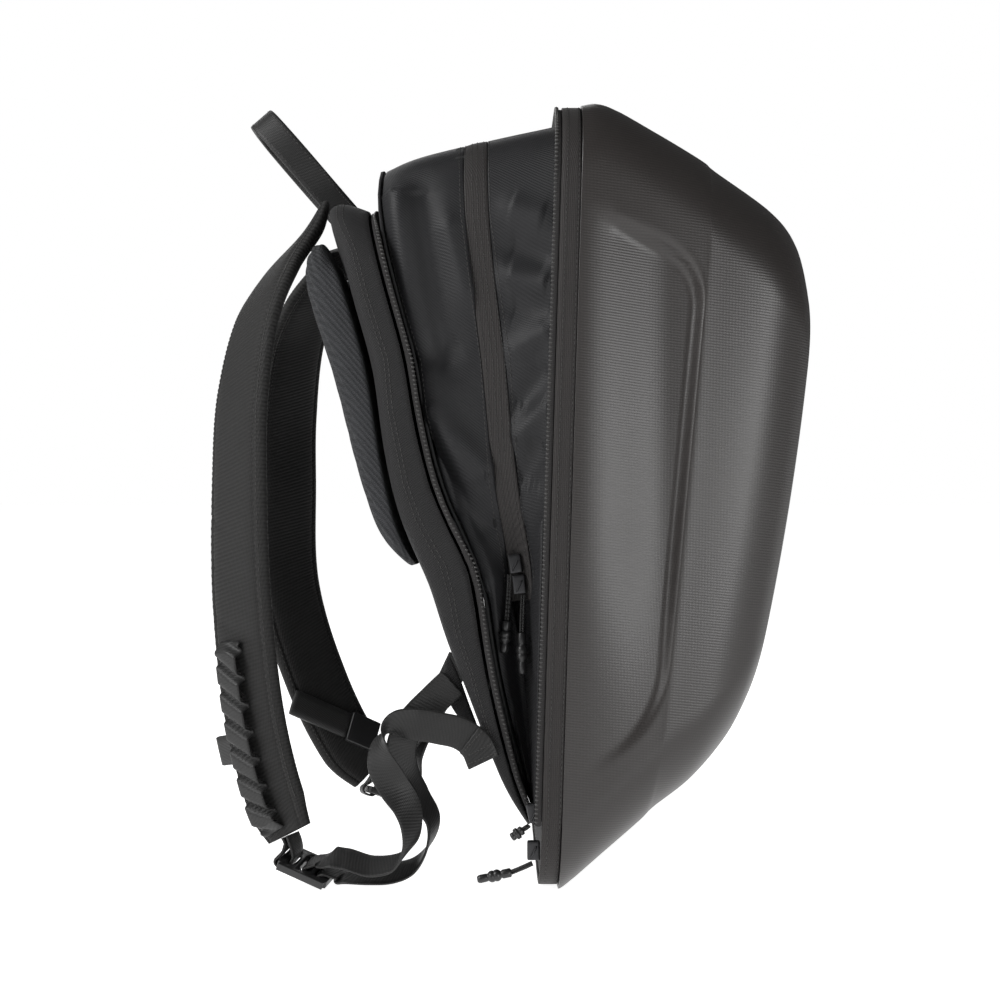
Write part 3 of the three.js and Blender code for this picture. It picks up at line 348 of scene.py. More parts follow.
def framesAlong(points, acrosses, steps, start=0.0, stop=1.0):
    frames = []
    run = 0.0
    last = None
    for step in range(steps + 1):
        share = start + (stop - start) * step / steps
        at = onLine(points, share)
        tangent = (onLine(points, share + 1e-4) - onLine(points, share - 1e-4)).normalized()
        across = onLine(acrosses, share)
        across = (across - tangent * across.dot(tangent)).normalized()
        if last is not None:
            run += (at - last).length
        last = at
        frames.append({"at": at, "tangent": tangent, "across": across,
                       "out": tangent.cross(across).normalized(), "run": run, "share": share})
    return frames


# A strip with a given section along frames. The section gives across, up and lie for each point.
def strip(frames, section):
    form = bmesh.new()
    lie = form.verts.layers.float_vector.new("lie")
    rings = []
    for frameAt in frames:
        ring = []
        for across, up in section(frameAt):
            vertex = form.verts.new(frameAt["at"] + frameAt["across"] * across + frameAt["out"] * up)
            vertex[lie] = (frameAt["run"], across, up)
            ring.append(vertex)
        rings.append(ring)
    count = len(rings[0])
    for first, second in zip(rings, rings[1:]):
        for i in range(count):
            j = (i + 1) % count
            form.faces.new((first[i], first[j], second[j], second[i]))
    form.faces.new(rings[0][::-1])
    form.faces.new(rings[-1])
    bmesh.ops.recalc_face_normals(form, faces=form.faces)
    return form


# Section of flat webbing: rounded edges and a lift for each place across.
def webbingSection(width, thickness, lift=None):
    columns = [-0.5, -0.485, -0.44, -0.3, -0.15, 0, 0.15, 0.3, 0.44, 0.485, 0.5]
    edges = [0.35, 0.8, 1, 1, 1, 1, 1, 1, 1, 0.8, 0.35]

    def section(frameAt):
        rises = [lift(frameAt, column * width) if lift else 0 for column in columns]
        top = [(c * width, r + thickness / 2 * e) for c, r, e in zip(columns, rises, edges)]
        low = [(c * width, r - thickness / 2 * e) for c, r, e in zip(columns, rises, edges)]
        return top + low[::-1]
    return section


def vectors(rows):
    return [Vector(row) for row in rows]


# Webbing and cords first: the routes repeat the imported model's, in metres.
routes = {
    "tailLeft": {
        "at": [(-0.1262, -0.1146, 0.0128), (-0.1215, -0.1162, 0.0147), (-0.1158, -0.118, 0.0163),
               (-0.1095, -0.1235, 0.019), (-0.1006, -0.126, 0.0185), (-0.0831, -0.131, 0.0152),
               (-0.0679, -0.135, 0.019), (-0.059, -0.141, 0.031), (-0.0578, -0.145, 0.045),
               (-0.061, -0.146, 0.057), (-0.0691, -0.1455, 0.0688), (-0.0759, -0.1465, 0.0815),
               (-0.0771, -0.147, 0.0929), (-0.0733, -0.147, 0.1024), (-0.0651, -0.1472, 0.1069),
               (-0.0539, -0.1475, 0.107), (-0.0402, -0.148, 0.1047), (-0.0278, -0.1482, 0.1017),
               (-0.0178, -0.1495, 0.0945), (-0.0129, -0.1505, 0.0842)],
        "across": [(0.26, 0.95, 0.16), (0.26, 0.95, 0.16), (0.26, 0.95, 0.16), (0.1, 0.91, 0.4),
                   (0, 0.9, 0.44), (0, 0.91, 0.42), (0.2, 0.92, 0.35), (0.42, 0.9, 0.15),
                   (0.6, 0.78, 0.2), (0.77, 0.54, 0.34), (0.88, 0.15, 0.45), (0.86, -0.3, 0.41),
                   (0.6, -0.75, 0.3), (0.25, -0.71, 0.66), (0, -0.3, 0.95), (0, 0, 1),
                   (0.1, 0, 1), (0.3, 0, 0.95), (0.71, 0, 0.71), (0.92, 0, 0.38)],
    },
    "loadLeft": {
        "at": [(-0.033, -0.1298, 0.131), (-0.045, -0.1302, 0.1196), (-0.0586, -0.131, 0.1057),
               (-0.065, -0.131, 0.0912), (-0.0637, -0.13, 0.0754), (-0.055, -0.129, 0.0596),
               (-0.0455, -0.126, 0.0438), (-0.0474, -0.1265, 0.0292), (-0.058, -0.128, 0.0148),
               (-0.071, -0.127, 0.0098), (-0.087, -0.1255, 0.0084), (-0.098, -0.1245, 0.0082),
               (-0.1022, -0.1202, 0.0075), (-0.1082, -0.1189, 0.0092), (-0.1123, -0.1179, 0.0099),
               (-0.1155, -0.1169, 0.0091), (-0.1174, -0.1161, 0.0071), (-0.1193, -0.1152, 0.0051),
               (-0.1221, -0.1144, 0.0046), (-0.1253, -0.1137, 0.0058), (-0.1269, -0.1137, 0.0083),
               (-0.1268, -0.1141, 0.0107)],
        "across": [(0.66, 0, -0.75), (0.71, 0.05, -0.71), (0.81, 0.3, -0.51), (0.92, 0.35, -0.2),
                   (0.89, 0.46, 0), (0.72, 0.7, 0), (0.38, 0.92, 0), (0.2, 0.97, 0.15),
                   (0.05, 0.94, 0.34), (0, 0.91, 0.42), (0, 0.92, 0.38), (0.1, 0.95, 0.3)]
                  + [(0.26, 0.95, 0.16)] * 10,
    },
    "tailRight": {
        "at": [(-0.0938, 0.1146, 0.0128), (-0.089, 0.1162, 0.0147), (-0.0833, 0.118, 0.0163),
               (-0.0845, 0.116, 0.025), (-0.0805, 0.1164, 0.042), (-0.0646, 0.12, 0.068),
               (-0.0468, 0.1256, 0.0976)],
        "across": [(0.26, -0.95, 0.16)] * 3 + [(0.31, -0.95, 0.1), (0.52, -0.83, -0.21),
                                               (0.67, -0.62, -0.41), (0.83, -0.21, -0.52)],
    },
    "loadRight": {
        "at": [(-0.035, 0.1299, 0.119), (-0.046, 0.1308, 0.096), (-0.062, 0.124, 0.066),
               (-0.07, 0.12, 0.042), (-0.0695, 0.119, 0.025), (-0.0725, 0.1186, 0.0135),
               (-0.0798, 0.1179, 0.0099), (-0.083, 0.1169, 0.0091), (-0.0849, 0.1161, 0.0071),
               (-0.0868, 0.1152, 0.0051), (-0.0897, 0.1144, 0.0046), (-0.0928, 0.1137, 0.0058),
               (-0.0944, 0.1137, 0.0083), (-0.0943, 0.1141, 0.0107)],
        "across": [(0.78, 0, -0.62), (0.83, -0.21, -0.52), (0.67, -0.62, -0.41), (0.52, -0.83, -0.21),
                   (0.36, -0.93, 0)] + [(0.26, -0.95, 0.16)] * 9,
    },
}
webbing = {"width": 0.02, "thickness": 0.0017}


def webbingRun(name, node, steps, free):
    frames = framesAlong(vectors(routes[name]["at"]), vectors(routes[name]["across"]), steps)
    form = strip(frames, webbingSection(webbing["width"], webbing["thickness"]))
    piece = addPiece(name + "Webbing", form, "webbing", [node])
    if free:
        line = [tuple(frameAt["at"]) for frameAt in frames]
        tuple(line[0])


webbingRun("tailLeft", "tail_web_left", 300, "bare")
webbingRun("loadLeft", "load_web_left", 300, "object")
webbingRun("loadRight", "load_web_right", 220, "object")
webbingRun("tailRight", "tail_web_right", 120, None)
print("webbing laid")

# Measures of the pack that the sewn details follow, in metres from the foot of the shell's rim.
pack = {
    "rimX": 0.021, "rimLean": 0.015, "shellHeight": 0.497, "shellHalf": 0.165, "shellCorner": 0.05,
    "zipRise": 0.0043, "trayHeight": 0.434, "trayHalf": 0.146, "trayCorner": 0.046, "trayDepth": 0.028,
    "bagReach": 0.104, "hinge": 0.041, "bagHeight": 0.465, "bagHalf": 0.134, "bagGap": 0.0062,
    "rimGap": 0.003,
}
backWaves = [(0, 0), (0.08, 0.8), (0.22, 0.6), (0.3, 0.2), (0.38, -0.6), (0.43, -0.8), (0.5, 0.6),
             (0.56, 1.1), (0.68, 0.8), (0.76, 0), (0.87, 0.2), (1, 0)]
trayDepths = [(0, 0.1), (0.1, 0.25), (0.26, 0.54), (0.33, 0.82), (0.44, 1), (0.56, 0.86), (0.75, 0.72),
              (0.92, 0.8), (1, 1.12)]


def readAt(table, at):
    for (a, low), (b, high) in zip(table, table[1:]):
        if at <= b:
            return low + (high - low) * (max(at, a) - a) / (b - a)
    return table[-1][1]


def rimAt(z):
    return pack["rimX"] + pack["rimLean"] * z / pack["shellHeight"]


def backAt(z):
    share = min(max((z - pack["hinge"]) / (pack["trayHeight"] - 0.009 - pack["hinge"]), 0), 1)
    return pack["rimX"] - pack["zipRise"] - pack["bagReach"] * share - 0.006 * readAt(backWaves, share)


def trayDepthAt(z):
    foot = pack["hinge"] - 0.006
    share = min(max((z - foot) / (pack["trayHeight"] - foot), 0), 1)
    return pack["trayDepth"] * readAt(trayDepths, share)


# An arch with round shoulders, stepped evenly: each step gives y, z and the way that faces out.
def archSteps(half, low, high, corner, pitch):
    side = high - corner - low
    bend = corner * math.pi / 2
    top = 2 * (half - corner)
    whole = 2 * side + 2 * bend + top
    count = int(whole / pitch)
    steps = []

    def onCorner(y, angle):
        outY, outZ = math.cos(angle), math.sin(angle)
        return y + corner * outY, high - corner + corner * outZ, outY, outZ

    for i in range(count + 1):
        run = whole * i / count
        if run < side:
            steps.append((-half, low + run, -1, 0))
            continue
        run -= side
        if run < bend:
            steps.append(onCorner(-half + corner, math.pi - run / corner))
            continue
        run -= bend
        if run < top:
            steps.append((-half + corner + run, high, 0, 1))
            continue
        run -= top
        if run < bend:
            steps.append(onCorner(half - corner, math.pi / 2 - run / corner))
            continue
        run -= bend
        steps.append((half, high - corner - run, 1, 0))
    return steps


# Small rounded lengths of thread or small teeth, each along its own line.
def beads(name, finish, places, size, standsFor=()):
    form = bmesh.new()
    shape = [(-0.5, 0), (-0.4, 0.8), (0.0, 1), (0.4, 0.8), (0.5, 0)]
    for at, along, out in places:
        along = along.normalized()
        out = (out - along * out.dot(along)).normalized()
        side = along.cross(out)
        rings = []
        for run, wide in shape:
            middle = at + along * (run * size["length"])
            if wide == 0:
                rings.append([form.verts.new(middle)])
                continue
            rings.append([form.verts.new(middle + side * (a * size["width"] / 2 * wide)
                                         + out * (b * size["height"] / 2 * wide))
                          for a, b in ((1, 0), (0.7, 0.8), (-0.7, 0.8), (-1, 0), (0, -0.8))])
        for first, second in zip(rings, rings[1:]):
            for i in range(5):
                j = (i + 1) % 5
                if len(first) == 1:
                    form.faces.new((first[0], second[j], second[i]))
                elif len(second) == 1:
                    form.faces.new((first[i], first[j], second[0]))
                else:
                    form.faces.new((first[i], first[j], second[j], second[i]))
    bmesh.ops.recalc_face_normals(form, faces=form.faces)
    return addPiece(name, form, finish, standsFor)


def treeOf(piece):
    form = bmesh.new()
    form.from_mesh(piece.data)
    tree = BVHTree.FromBMesh(form)
    form.free()
    return tree


sewing = {"start": 0.03, "jump": 0.02, "lift": 0.00012}


# Rows of stitches on a piece: each place is dropped onto its surface.
def sewnRow(tree, line):
    places = []
    hits = []
    for at, out in line:
        hit, normal, _, _ = tree.ray_cast(at + out * sewing["start"], -out, sewing["start"] * 2)
        hits.append((hit, normal, out))
    for (hit, normal, out), (after, _, _) in zip(hits, hits[1:]):
        if hit is None or after is None or (after - hit).length > sewing["jump"]:
            continue
        if normal.dot(out) < 0:
            normal = -normal
        places.append(((hit + after) / 2 + normal * sewing["lift"], after - hit, normal))
    return places


stitch = {"length": 0.0023, "width": 0.0006, "height": 0.00055, "pitch": 0.0033}


def archRow(tree, xAt, half, low, high, corner):
    line = [(Vector((xAt(z), y, z)), Vector((0, outY, outZ)))
            for y, z, outY, outZ in archSteps(half, low, high, corner, stitch["pitch"])]
    return sewnRow(tree, line)


# The moulded shell, drawn ring by ring from the rim to the middle of its front.
moulding = {"depth": 0.16, "crown": 0.008, "wall": 0.002, "recess": 0.0095, "step": 0.0075, "round": 0.026,
            "rings": 84, "corner": 18, "side": 96, "flat": 30}
ringColumns = ("foot", "top", "drop", "rise", "width", "corner", "bulge")
shellRings = named(ringColumns, [
    (0.077, 0.077, 0, 0, 1, 1, 0), (0.1, 0.175, 0, 0, 1, 1, 0),
    (0.25, 0.369, 0.032, 0.04, 0.995, 1.05, 0.01), (0.4, 0.556, 0.066, 0.08, 0.985, 1.1, 0.02),
    (0.456, 0.613, 0.079, 0.096, 0.98, 1.15, 0.025), (0.605, 0.838, 0.127, 0.13, 0.95, 1.2, 0.035),
    (0.738, 0.944, 0.165, 0.175, 0.9, 1.2, 0.038), (0.812, 0.994, 0.221, 0.215, 0.84, 1.1, 0.036),
])
frontShares = [0.99, 0.975, 0.955, 0.93, 0.89, 0.83, 0.75, 0.66, 0.56, 0.45, 0.34, 0.23, 0.12, 0.04]


def ringAt(place):
    index = min(int(place), len(shellRings) - 2)
    part = place - index
    near = [shellRings[min(max(index + k, 0), len(shellRings) - 1)] for k in (-1, 0, 1, 2)]
    values = {}
    for column in near[1]:
        a, b, c, d = [row[column] for row in near]
        leave, reach = (c - a) / 2, (d - b) / 2
        values[column] = (b + leave * part + (3 * (c - b) - 2 * leave - reach) * part ** 2
                          + (2 * (b - c) + leave + reach) * part ** 3)
    return values


def softRise(value, low, high):
    share = min(max((value - low) / (high - low), 0), 1)
    return share * share * (3 - 2 * share)


def softLeast(a, b):
    blend = min(max(0.5 + 0.5 * (b - a) / moulding["round"], 0), 1)
    return b + (a - b) * blend - moulding["round"] * blend * (1 - blend)


def recessAt(x, z):
    deep, high = moulding["depth"], pack["shellHeight"]
    along = (z / high - 0.249) / (0.742 - 0.249)
    front = (0.494 + (0.638 - 0.494) * along) * deep - x
    top = (0.856 * high - 0.484 * (x - 0.223 * deep) - z) / math.hypot(1, 0.484)
    foot = (z - 0.14 * high - 0.727 * (x - 0.138 * deep)) / math.hypot(1, 0.727)
    inside = softLeast(softLeast(front, top), foot)
    rimFade = softRise(x / deep, 0.15, 0.5)
    footFade = 0.35 + 0.65 * softRise(z / high, 0.2, 0.46)
    return moulding["recess"] * softRise(inside, 0.0005, moulding["step"]) * rimFade * footFade


def loopPoints(half, low, high, corner):
    points = []
    turn = moulding["corner"]
    corners = [(-half + corner, high - corner, math.pi), (half - corner, high - corner, math.pi / 2),
               (half - corner, low + corner, 0), (-half + corner, low + corner, -math.pi / 2)]
    counts = [moulding["flat"], moulding["side"], moulding["flat"], moulding["side"]]
    for (y, z, start), (nextY, nextZ, _), count in zip(corners, corners[1:] + corners[:1], counts):
        for i in range(turn + 1):
            angle = start - math.pi / 2 * i / turn
            points.append((y + corner * math.cos(angle), z + corner * math.sin(angle),
                           math.cos(angle), math.sin(angle)))
        fromY, fromZ, outY, outZ = points[-1]
        angle = start - math.pi / 2
        toY, toZ = nextY + corner * math.cos(angle), nextZ + corner * math.sin(angle)
        for i in range(1, count):
            share = i / count
            points.append((fromY + (toY - fromY) * share, fromZ + (toZ - fromZ) * share, outY, outZ))
    return points


def shellRing(row, scale=1.0):
    low = row["rise"] * pack["shellHeight"]
    high = (1 - row["drop"]) * pack["shellHeight"]
    middle = (low + high) / 2
    loop = loopPoints(row["width"] * pack["shellHalf"], low, high, row["corner"] * pack["shellCorner"])
    ring = []
    for flatY, flatZ, outY, _ in loop:
        y = flatY * scale
        z = middle + (flatZ - middle) * scale
        share = (z - low) / (high - low)
        foot = row["foot"] * moulding["depth"]
        top = pack["rimLean"] + row["top"] * moulding["depth"]
        x = foot + (top - foot) * share + row["bulge"] * moulding["depth"] * 4 * share * (1 - share)
        x += moulding["crown"] * (1 - scale * scale)
        dent = recessAt(x, z) * outY * outY if scale == 1 else 0
        ring.append(Vector((x + pack["rimX"], y - math.copysign(dent, outY), z)))
    return ring


def mouldedShell():
    last = len(shellRings) - 1
    rows = [shellRing(ringAt(last * i / moulding["rings"])) for i in range(moulding["rings"] + 1)]
    rows += [shellRing(shellRings[last], share) for share in frontShares]
    form = bmesh.new()
    grid = [[form.verts.new(at) for at in row] for row in rows]
    for first, second in zip(grid, grid[1:]):
        for i in range(len(first)):
            j = (i + 1) % len(first)
            form.faces.new((first[i], first[j], second[j], second[i]))
    form.faces.new(grid[-1])
    for rows, times in ((grid[moulding["rings"] - 3:moulding["rings"] + 4], 5), (grid[9:16], 3)):
        around = [vertex for row in rows for vertex in row]
        for _ in range(times):
            bmesh.ops.smooth_vert(form, verts=around, factor=0.5, use_axis_x=True, use_axis_y=True,
                                  use_axis_z=True)
    bmesh.ops.recalc_face_normals(form, faces=form.faces)
    piece = addPiece("mouldedShell", form, "shell", ["hard_shell"])
    wall = piece.modifiers.new("wall", "SOLIDIFY")
    wall.thickness = moulding["wall"]
    wall.offset = -1
    settle(piece)


mouldedShell()
print("shell made")

# The rim: its ribbed binding with one row of stitches, and the zip's tape and teeth.
band = softened("rim_band", "binding", {"name": "rimBinding", "levels": 2, "crease": 50, "sharp": 0.55})
bandTree = treeOf(band)
rimRows = []
for off in (0.0036, 0.0108):
    rimRows += archRow(bandTree, lambda z, off=off: rimAt(z) + off, pack["shellHalf"], 0.006,
                       pack["shellHeight"], pack["shellCorner"])
beads("rimStitches", "thread", rimRows, stitch)
for zipName in ("rim", "back"):
    softened(zipName + "_zip", "tape", {"name": zipName + "ZipTape", "levels": 1, "crease": 40, "sharp": 0.9})
tooth = {"length": 0.0044, "width": 0.0016, "height": 0.0034, "pitch": 0.0027, "inset": 0.0028}


def teethRow(name, half, high, corner, xAt):
    places = []
    for y, z, outY, outZ in archSteps(half - tooth["inset"], 0.05, high - tooth["inset"],
                                      corner - tooth["inset"], tooth["pitch"]):
        places.append((Vector((xAt(z), y, z)), Vector((0, outY, outZ)), Vector((-1, 0, 0))))
    beads(name, "teeth", places, tooth)


teethRow("rimTeeth", pack["shellHalf"], pack["shellHeight"], pack["shellCorner"], lambda z: rimAt(z) - 0.0032)
teethRow("backTeeth", pack["trayHalf"], pack["trayHeight"], pack["trayCorner"], lambda z: backAt(z) + 0.0048)
softened("hinge_panel", "backCloth", {"name": "hingeCloth", "levels": 1, "crease": 50, "sharp": 0.9})
print("rim and zips made")

# The soft bag. Its folds are soft ridges and hollows along lines in side view, on both sides.
foldColumns = ("from", "to", "wide", "high")
bagFolds = named(foldColumns, [
    ((0.004, 0.428), (0.024, 0.421), 0.008, 0.0016), ((0.003, 0.404), (0.026, 0.396), 0.008, -0.0018),
    ((0.003, 0.386), (0.026, 0.38), 0.007, 0.0017), ((0.004, 0.366), (0.026, 0.362), 0.008, -0.0014),
    ((0.006, 0.338), (0.026, 0.352), 0.007, 0.0014), ((0.008, 0.306), (0.026, 0.326), 0.008, -0.0016),
    ((0.008, 0.284), (0.026, 0.305), 0.007, 0.0016), ((0.01, 0.258), (0.024, 0.28), 0.008, -0.0014),
    ((0.008, 0.236), (0.022, 0.252), 0.007, 0.0012), ((-0.068, 0.44), (-0.05, 0.3), 0.008, 0.0022),
    ((-0.052, 0.44), (-0.036, 0.33), 0.01, -0.0018), ((-0.048, 0.3), (-0.012, 0.262), 0.01, 0.0018),
    ((-0.046, 0.268), (-0.01, 0.226), 0.009, -0.002), ((-0.036, 0.232), (-0.008, 0.192), 0.008, 0.0018),
    ((-0.036, 0.42), (-0.022, 0.372), 0.008, 0.0014), ((-0.064, 0.33), (-0.03, 0.346), 0.009, -0.0012),
])
foldScale = 2.6


def foldShape(co, normal):
    if abs(normal.y) < 0.25:
        return 0.0006 * math.sin(co.y * 90) * abs(normal.z)
    rise = 0.0
    for fold in bagFolds:
        ax, az = fold["from"]
        bx, bz = fold["to"]
        dx, dz = bx - ax, bz - az
        share = ((co.x - ax) * dx + (co.z - az) * dz) / (dx * dx + dz * dz)
        near = min(max(share, 0), 1)
        off = math.hypot(co.x - ax - dx * near, co.z - az - dz * near)
        fade = 1 if 0 <= share <= 1 else 0.6
        rise += fold["high"] * fade * math.exp(-(off / fold["wide"]) ** 2)
    return foldScale * rise * abs(normal.y)


# A lining face moves with the outer one, so both keep their distance.
def wallShape(co, normal):
    outer = normal.y * co.y > 0 or abs(normal.y) < 0.25
    return foldShape(co, normal) * (1 if outer else -1)


bagLook = {"levels": 3, "crease": 60, "sharp": 0.9}
gussetRear = softened("gusset_rear", "twill", {**bagLook, "name": "bagSideRear"}, wallShape)
gussetFront = softened("gusset_front", "twill", {**bagLook, "name": "bagSideFront"}, wallShape)
mainZip = softened("main_zip", "binding", {**bagLook, "name": "mainZipCover", "levels": 2})
zipTree = treeOf(mainZip)
rearTree = treeOf(gussetRear)
frontTree = treeOf(gussetFront)
zipShare = [(0.0, 0.62), (0.18, 0.62), (0.3, 0.61), (0.36, 0.585), (0.465, 0.545)]


# A place on the bag's side, at a share of the way from the back to the rim.
def bagX(share):
    def at(z):
        back = backAt(min(z, pack["bagHeight"])) + pack["bagGap"]
        return back + (rimAt(z) - pack["rimGap"] - back) * share
    return at


def beside(off):
    def at(z):
        return bagX(readAt(zipShare, z))(z) + off
    return at


# A strip behind the main zip, so that no light shows beside it.
backing = {"wide": 1.9, "inset": 0.0023, "low": 0.15, "roundFrom": 0.38}
backingForm = bmesh.new()
backingForm.from_mesh(nodes["main_zip"].data)
bmesh.ops.remove_doubles(backingForm, verts=backingForm.verts, dist=2e-5)
for vertex in backingForm.verts:
    x, y, z = vertex.co
    out = Vector((0, y, max(z - backing["roundFrom"], 0))).normalized()
    height = min(max(z, backing["low"]), pack["bagHeight"])
    centre = bagX(readAt(zipShare, z))(height)
    vertex.co = Vector((centre + (x - centre) * backing["wide"], y, z)) - out * backing["inset"]
addPiece("zipBacking", backingForm, "lining")
softened("bag_back_wall", "lining", {**bagLook, "name": "bagInnerWall", "levels": 1})
bagRows = []
bagTop = {"half": pack["bagHalf"] + 0.01, "high": pack["bagHeight"] + 0.02, "corner": 0.045}
for tree, off, low in ((zipTree, -0.0058, 0.17), (zipTree, -0.0016, 0.17), (zipTree, 0.0016, 0.17),
                       (zipTree, 0.0058, 0.17), (rearTree, -0.0092, 0.19), (frontTree, 0.0092, 0.19)):
    bagRows += archRow(tree, beside(off), bagTop["half"], low, bagTop["high"], bagTop["corner"])
bagRows += archRow(rearTree, lambda z: bagX(0)(z) + 0.0035, pack["bagHalf"], 0.28, pack["bagHeight"],
                   bagTop["corner"])
beads("bagStitches", "thread", bagRows, stitch)

# Cloth folded in between the two open zips, below the bag's sides.
sideFold = {"low": 0.046, "high": 0.235, "rows": 60, "columns": 24, "deep": 0.03,
            "cloth": 0.0006, "order": Vector((1, 7.3, 53.9))}


def foldedCloth(side, name):
    form = bmesh.new()
    grid = []
    for i in range(sideFold["rows"] + 1):
        z = sideFold["low"] + (sideFold["high"] - sideFold["low"]) * i / sideFold["rows"]
        rear = Vector((backAt(z) + 0.0062, side * (pack["trayHalf"] - 0.0125), z))
        front = Vector((rimAt(z) - 0.0045, side * (pack["shellHalf"] - 0.0135), z))
        line = []
        for k in range(sideFold["columns"] + 1):
            share = k / sideFold["columns"]
            deep = sideFold["deep"] * math.sin(math.pi * share) * min(1, (front.x - rear.x) / 0.03 + 0.3)
            ripple = 0.0012 * math.sin(z * 150 + share * 9) * math.sin(math.pi * share)
            at = rear.lerp(front, share)
            line.append(form.verts.new(at - Vector((0, side * (deep + ripple), 0))))
        grid.append(line)
    for first, second in zip(grid, grid[1:]):
        for a, b, c, d in zip(first, first[1:], second[1:], second):
            form.faces.new((a, b, c, d))
    bmesh.ops.recalc_face_normals(form, faces=form.faces)
    bmesh.ops.solidify(form, geom=form.faces[:], thickness=sideFold["cloth"])
    # The edge's faces come in any order, so they are sorted to give the same mesh each run.
    form.faces.sort(key=lambda face: face.calc_center_median().dot(sideFold["order"]))
    addPiece("foldedCloth." + name, form, "twill")


foldedCloth(-1, "left")
foldedCloth(1, "right")
print("bag made")

# The padded back with its double seam and two ribbed pads.
trayLook = {"levels": 2, "crease": 65, "sharp": 0.6}
tray = softened("back_tray", "backCloth", {**trayLook, "name": "paddedBack"})
trayTree = treeOf(tray)
trayRows = []
for share in (0.5, 0.62):
    trayRows += archRow(trayTree, lambda z, s=share: backAt(z) - trayDepthAt(z) * s, pack["trayHalf"], 0.1,
                        pack["trayHeight"] + 0.008, pack["trayCorner"])
beads("backStitches", "thread", trayRows, stitch)


def padShape(co, normal):
    wave = math.sin((co.x * 1.1 + co.z * 0.8 + abs(co.y) * 0.5) * 2 * math.pi / 0.0095)
    return 0.0007 * wave * min(1, max(0, -normal.x * 1.4))


for side in ("left", "right"):
    pad = softened("back_pad_" + side, "mesh", {"name": "airPad." + side, "levels": 4, "crease": 85,
                                                "sharp": 0.5}, padShape)
    softened("wing_" + side, "backCloth", {"name": "wingCloth." + side, "levels": 2, "crease": 60,
                                           "sharp": 0.9})
print("back made")

# Shoulder straps, padded between two rows of stitches.
strapColumns = ("back", "rise", "spread", "turn", "width", "thick", "swing")
strapRows = named(strapColumns, [
    (0.12, 1.005, 0.59, 8, 0.86, 0.6, 0), (0.22, 0.978, 0.64, 14, 0.92, 0.9, 0),
    (0.534, 0.917, 0.74, 24, 1, 1, 0), (0.767, 0.846, 0.86, 32, 1, 1, 0),
    (0.914, 0.726, 0.96, 38, 1, 1, 0), (0.94, 0.6, 1, 42, 0.96, 1, 0), (0.91, 0.412, 1, 48, 0.92, 1, 0),
    (0.76, 0.237, 1, 52, 0.88, 1, 0.24), (0.53, 0.12, 1.02, 54, 0.84, 1, 0.44),
    (0.36, 0.072, 1.06, 54, 0.66, 0.8, 0.56),
])
strap = {"seatX": -0.1176, "reach": 0.058, "spread": 0.105, "width": 0.062, "thickness": 0.012, "steps": 230,
         "seam": 0.78, "seams": [(0.232, 0.5), (0.262, 0.5), (0.292, 0.42), (0.295, 0.42)]}


def strapFrames(side, steps, start=0.0, stop=1.0):
    points = []
    acrosses = []
    for row in strapRows:
        swing = row["swing"] if side > 0 else 0
        points.append(Vector((strap["seatX"] + strap["reach"] * (swing - row["back"]),
                              side * row["spread"] * strap["spread"], row["rise"] * pack["trayHeight"])))
        turn = math.radians(row["turn"])
        acrosses.append(Vector((math.sin(turn), side * math.cos(turn), 0)))
    return framesAlong(points, acrosses, steps, start, stop)


def strapColumn(column, share):
    place = min(max(share, 0), 1) * (len(strapRows) - 1)
    index = min(int(place), len(strapRows) - 2)
    low, high = strapRows[index][column], strapRows[index + 1][column]
    return low + (high - low) * (place - index)


def strapSection(side):
    marks = [-1, -0.985, -0.96, -0.92, -0.86, -0.81, -0.78, -0.75, -0.68, -0.5, -0.25, 0,
             0.25, 0.5, 0.68, 0.75, 0.78, 0.81, 0.86, 0.92, 0.96, 0.985, 1]

    def section(frameAt):
        half = strap["width"] / 2 * strapColumn("width", frameAt["share"])
        thick = strap["thickness"] / 2 * strapColumn("thick", frameAt["share"])
        top = []
        low = []
        for mark in marks:
            rise = thick * (1 - abs(mark) ** 5) ** 0.5
            groove = math.exp(-((abs(mark) - strap["seam"]) / 0.035) ** 2) * 0.0011
            puff = 0.0006 * math.sin(frameAt["run"] * 70) * (1 - abs(mark))
            across = mark * half
            cut = 0
            for seam, slope in strap["seams"]:
                off = frameAt["run"] - seam - across * slope
                cut += 0.0007 * math.exp(-(off / 0.0009) ** 2)
            inner = rise - groove + puff
            outer = rise - groove - cut
            top.append((across, max(inner if side > 0 else outer, 0.0002)))
            low.append((across, -max(outer if side > 0 else inner, 0.0002)))
        return top + low[::-1][1:-1]
    return section


def strapRow(tree, side, mark, faceUp, start, stop):
    line = []
    for frameAt in strapFrames(side, int((stop - start) * 150), start, stop):
        half = strap["width"] / 2 * strapColumn("width", frameAt["share"])
        line.append((frameAt["at"] + frameAt["across"] * (mark * half), frameAt["out"] * faceUp))
    return sewnRow(tree, line)


daisy = {"from": 0.7, "to": 0.975, "loops": 7, "bulge": 0.0058, "off": 0.005, "slant": 0.62, "steps": 210}


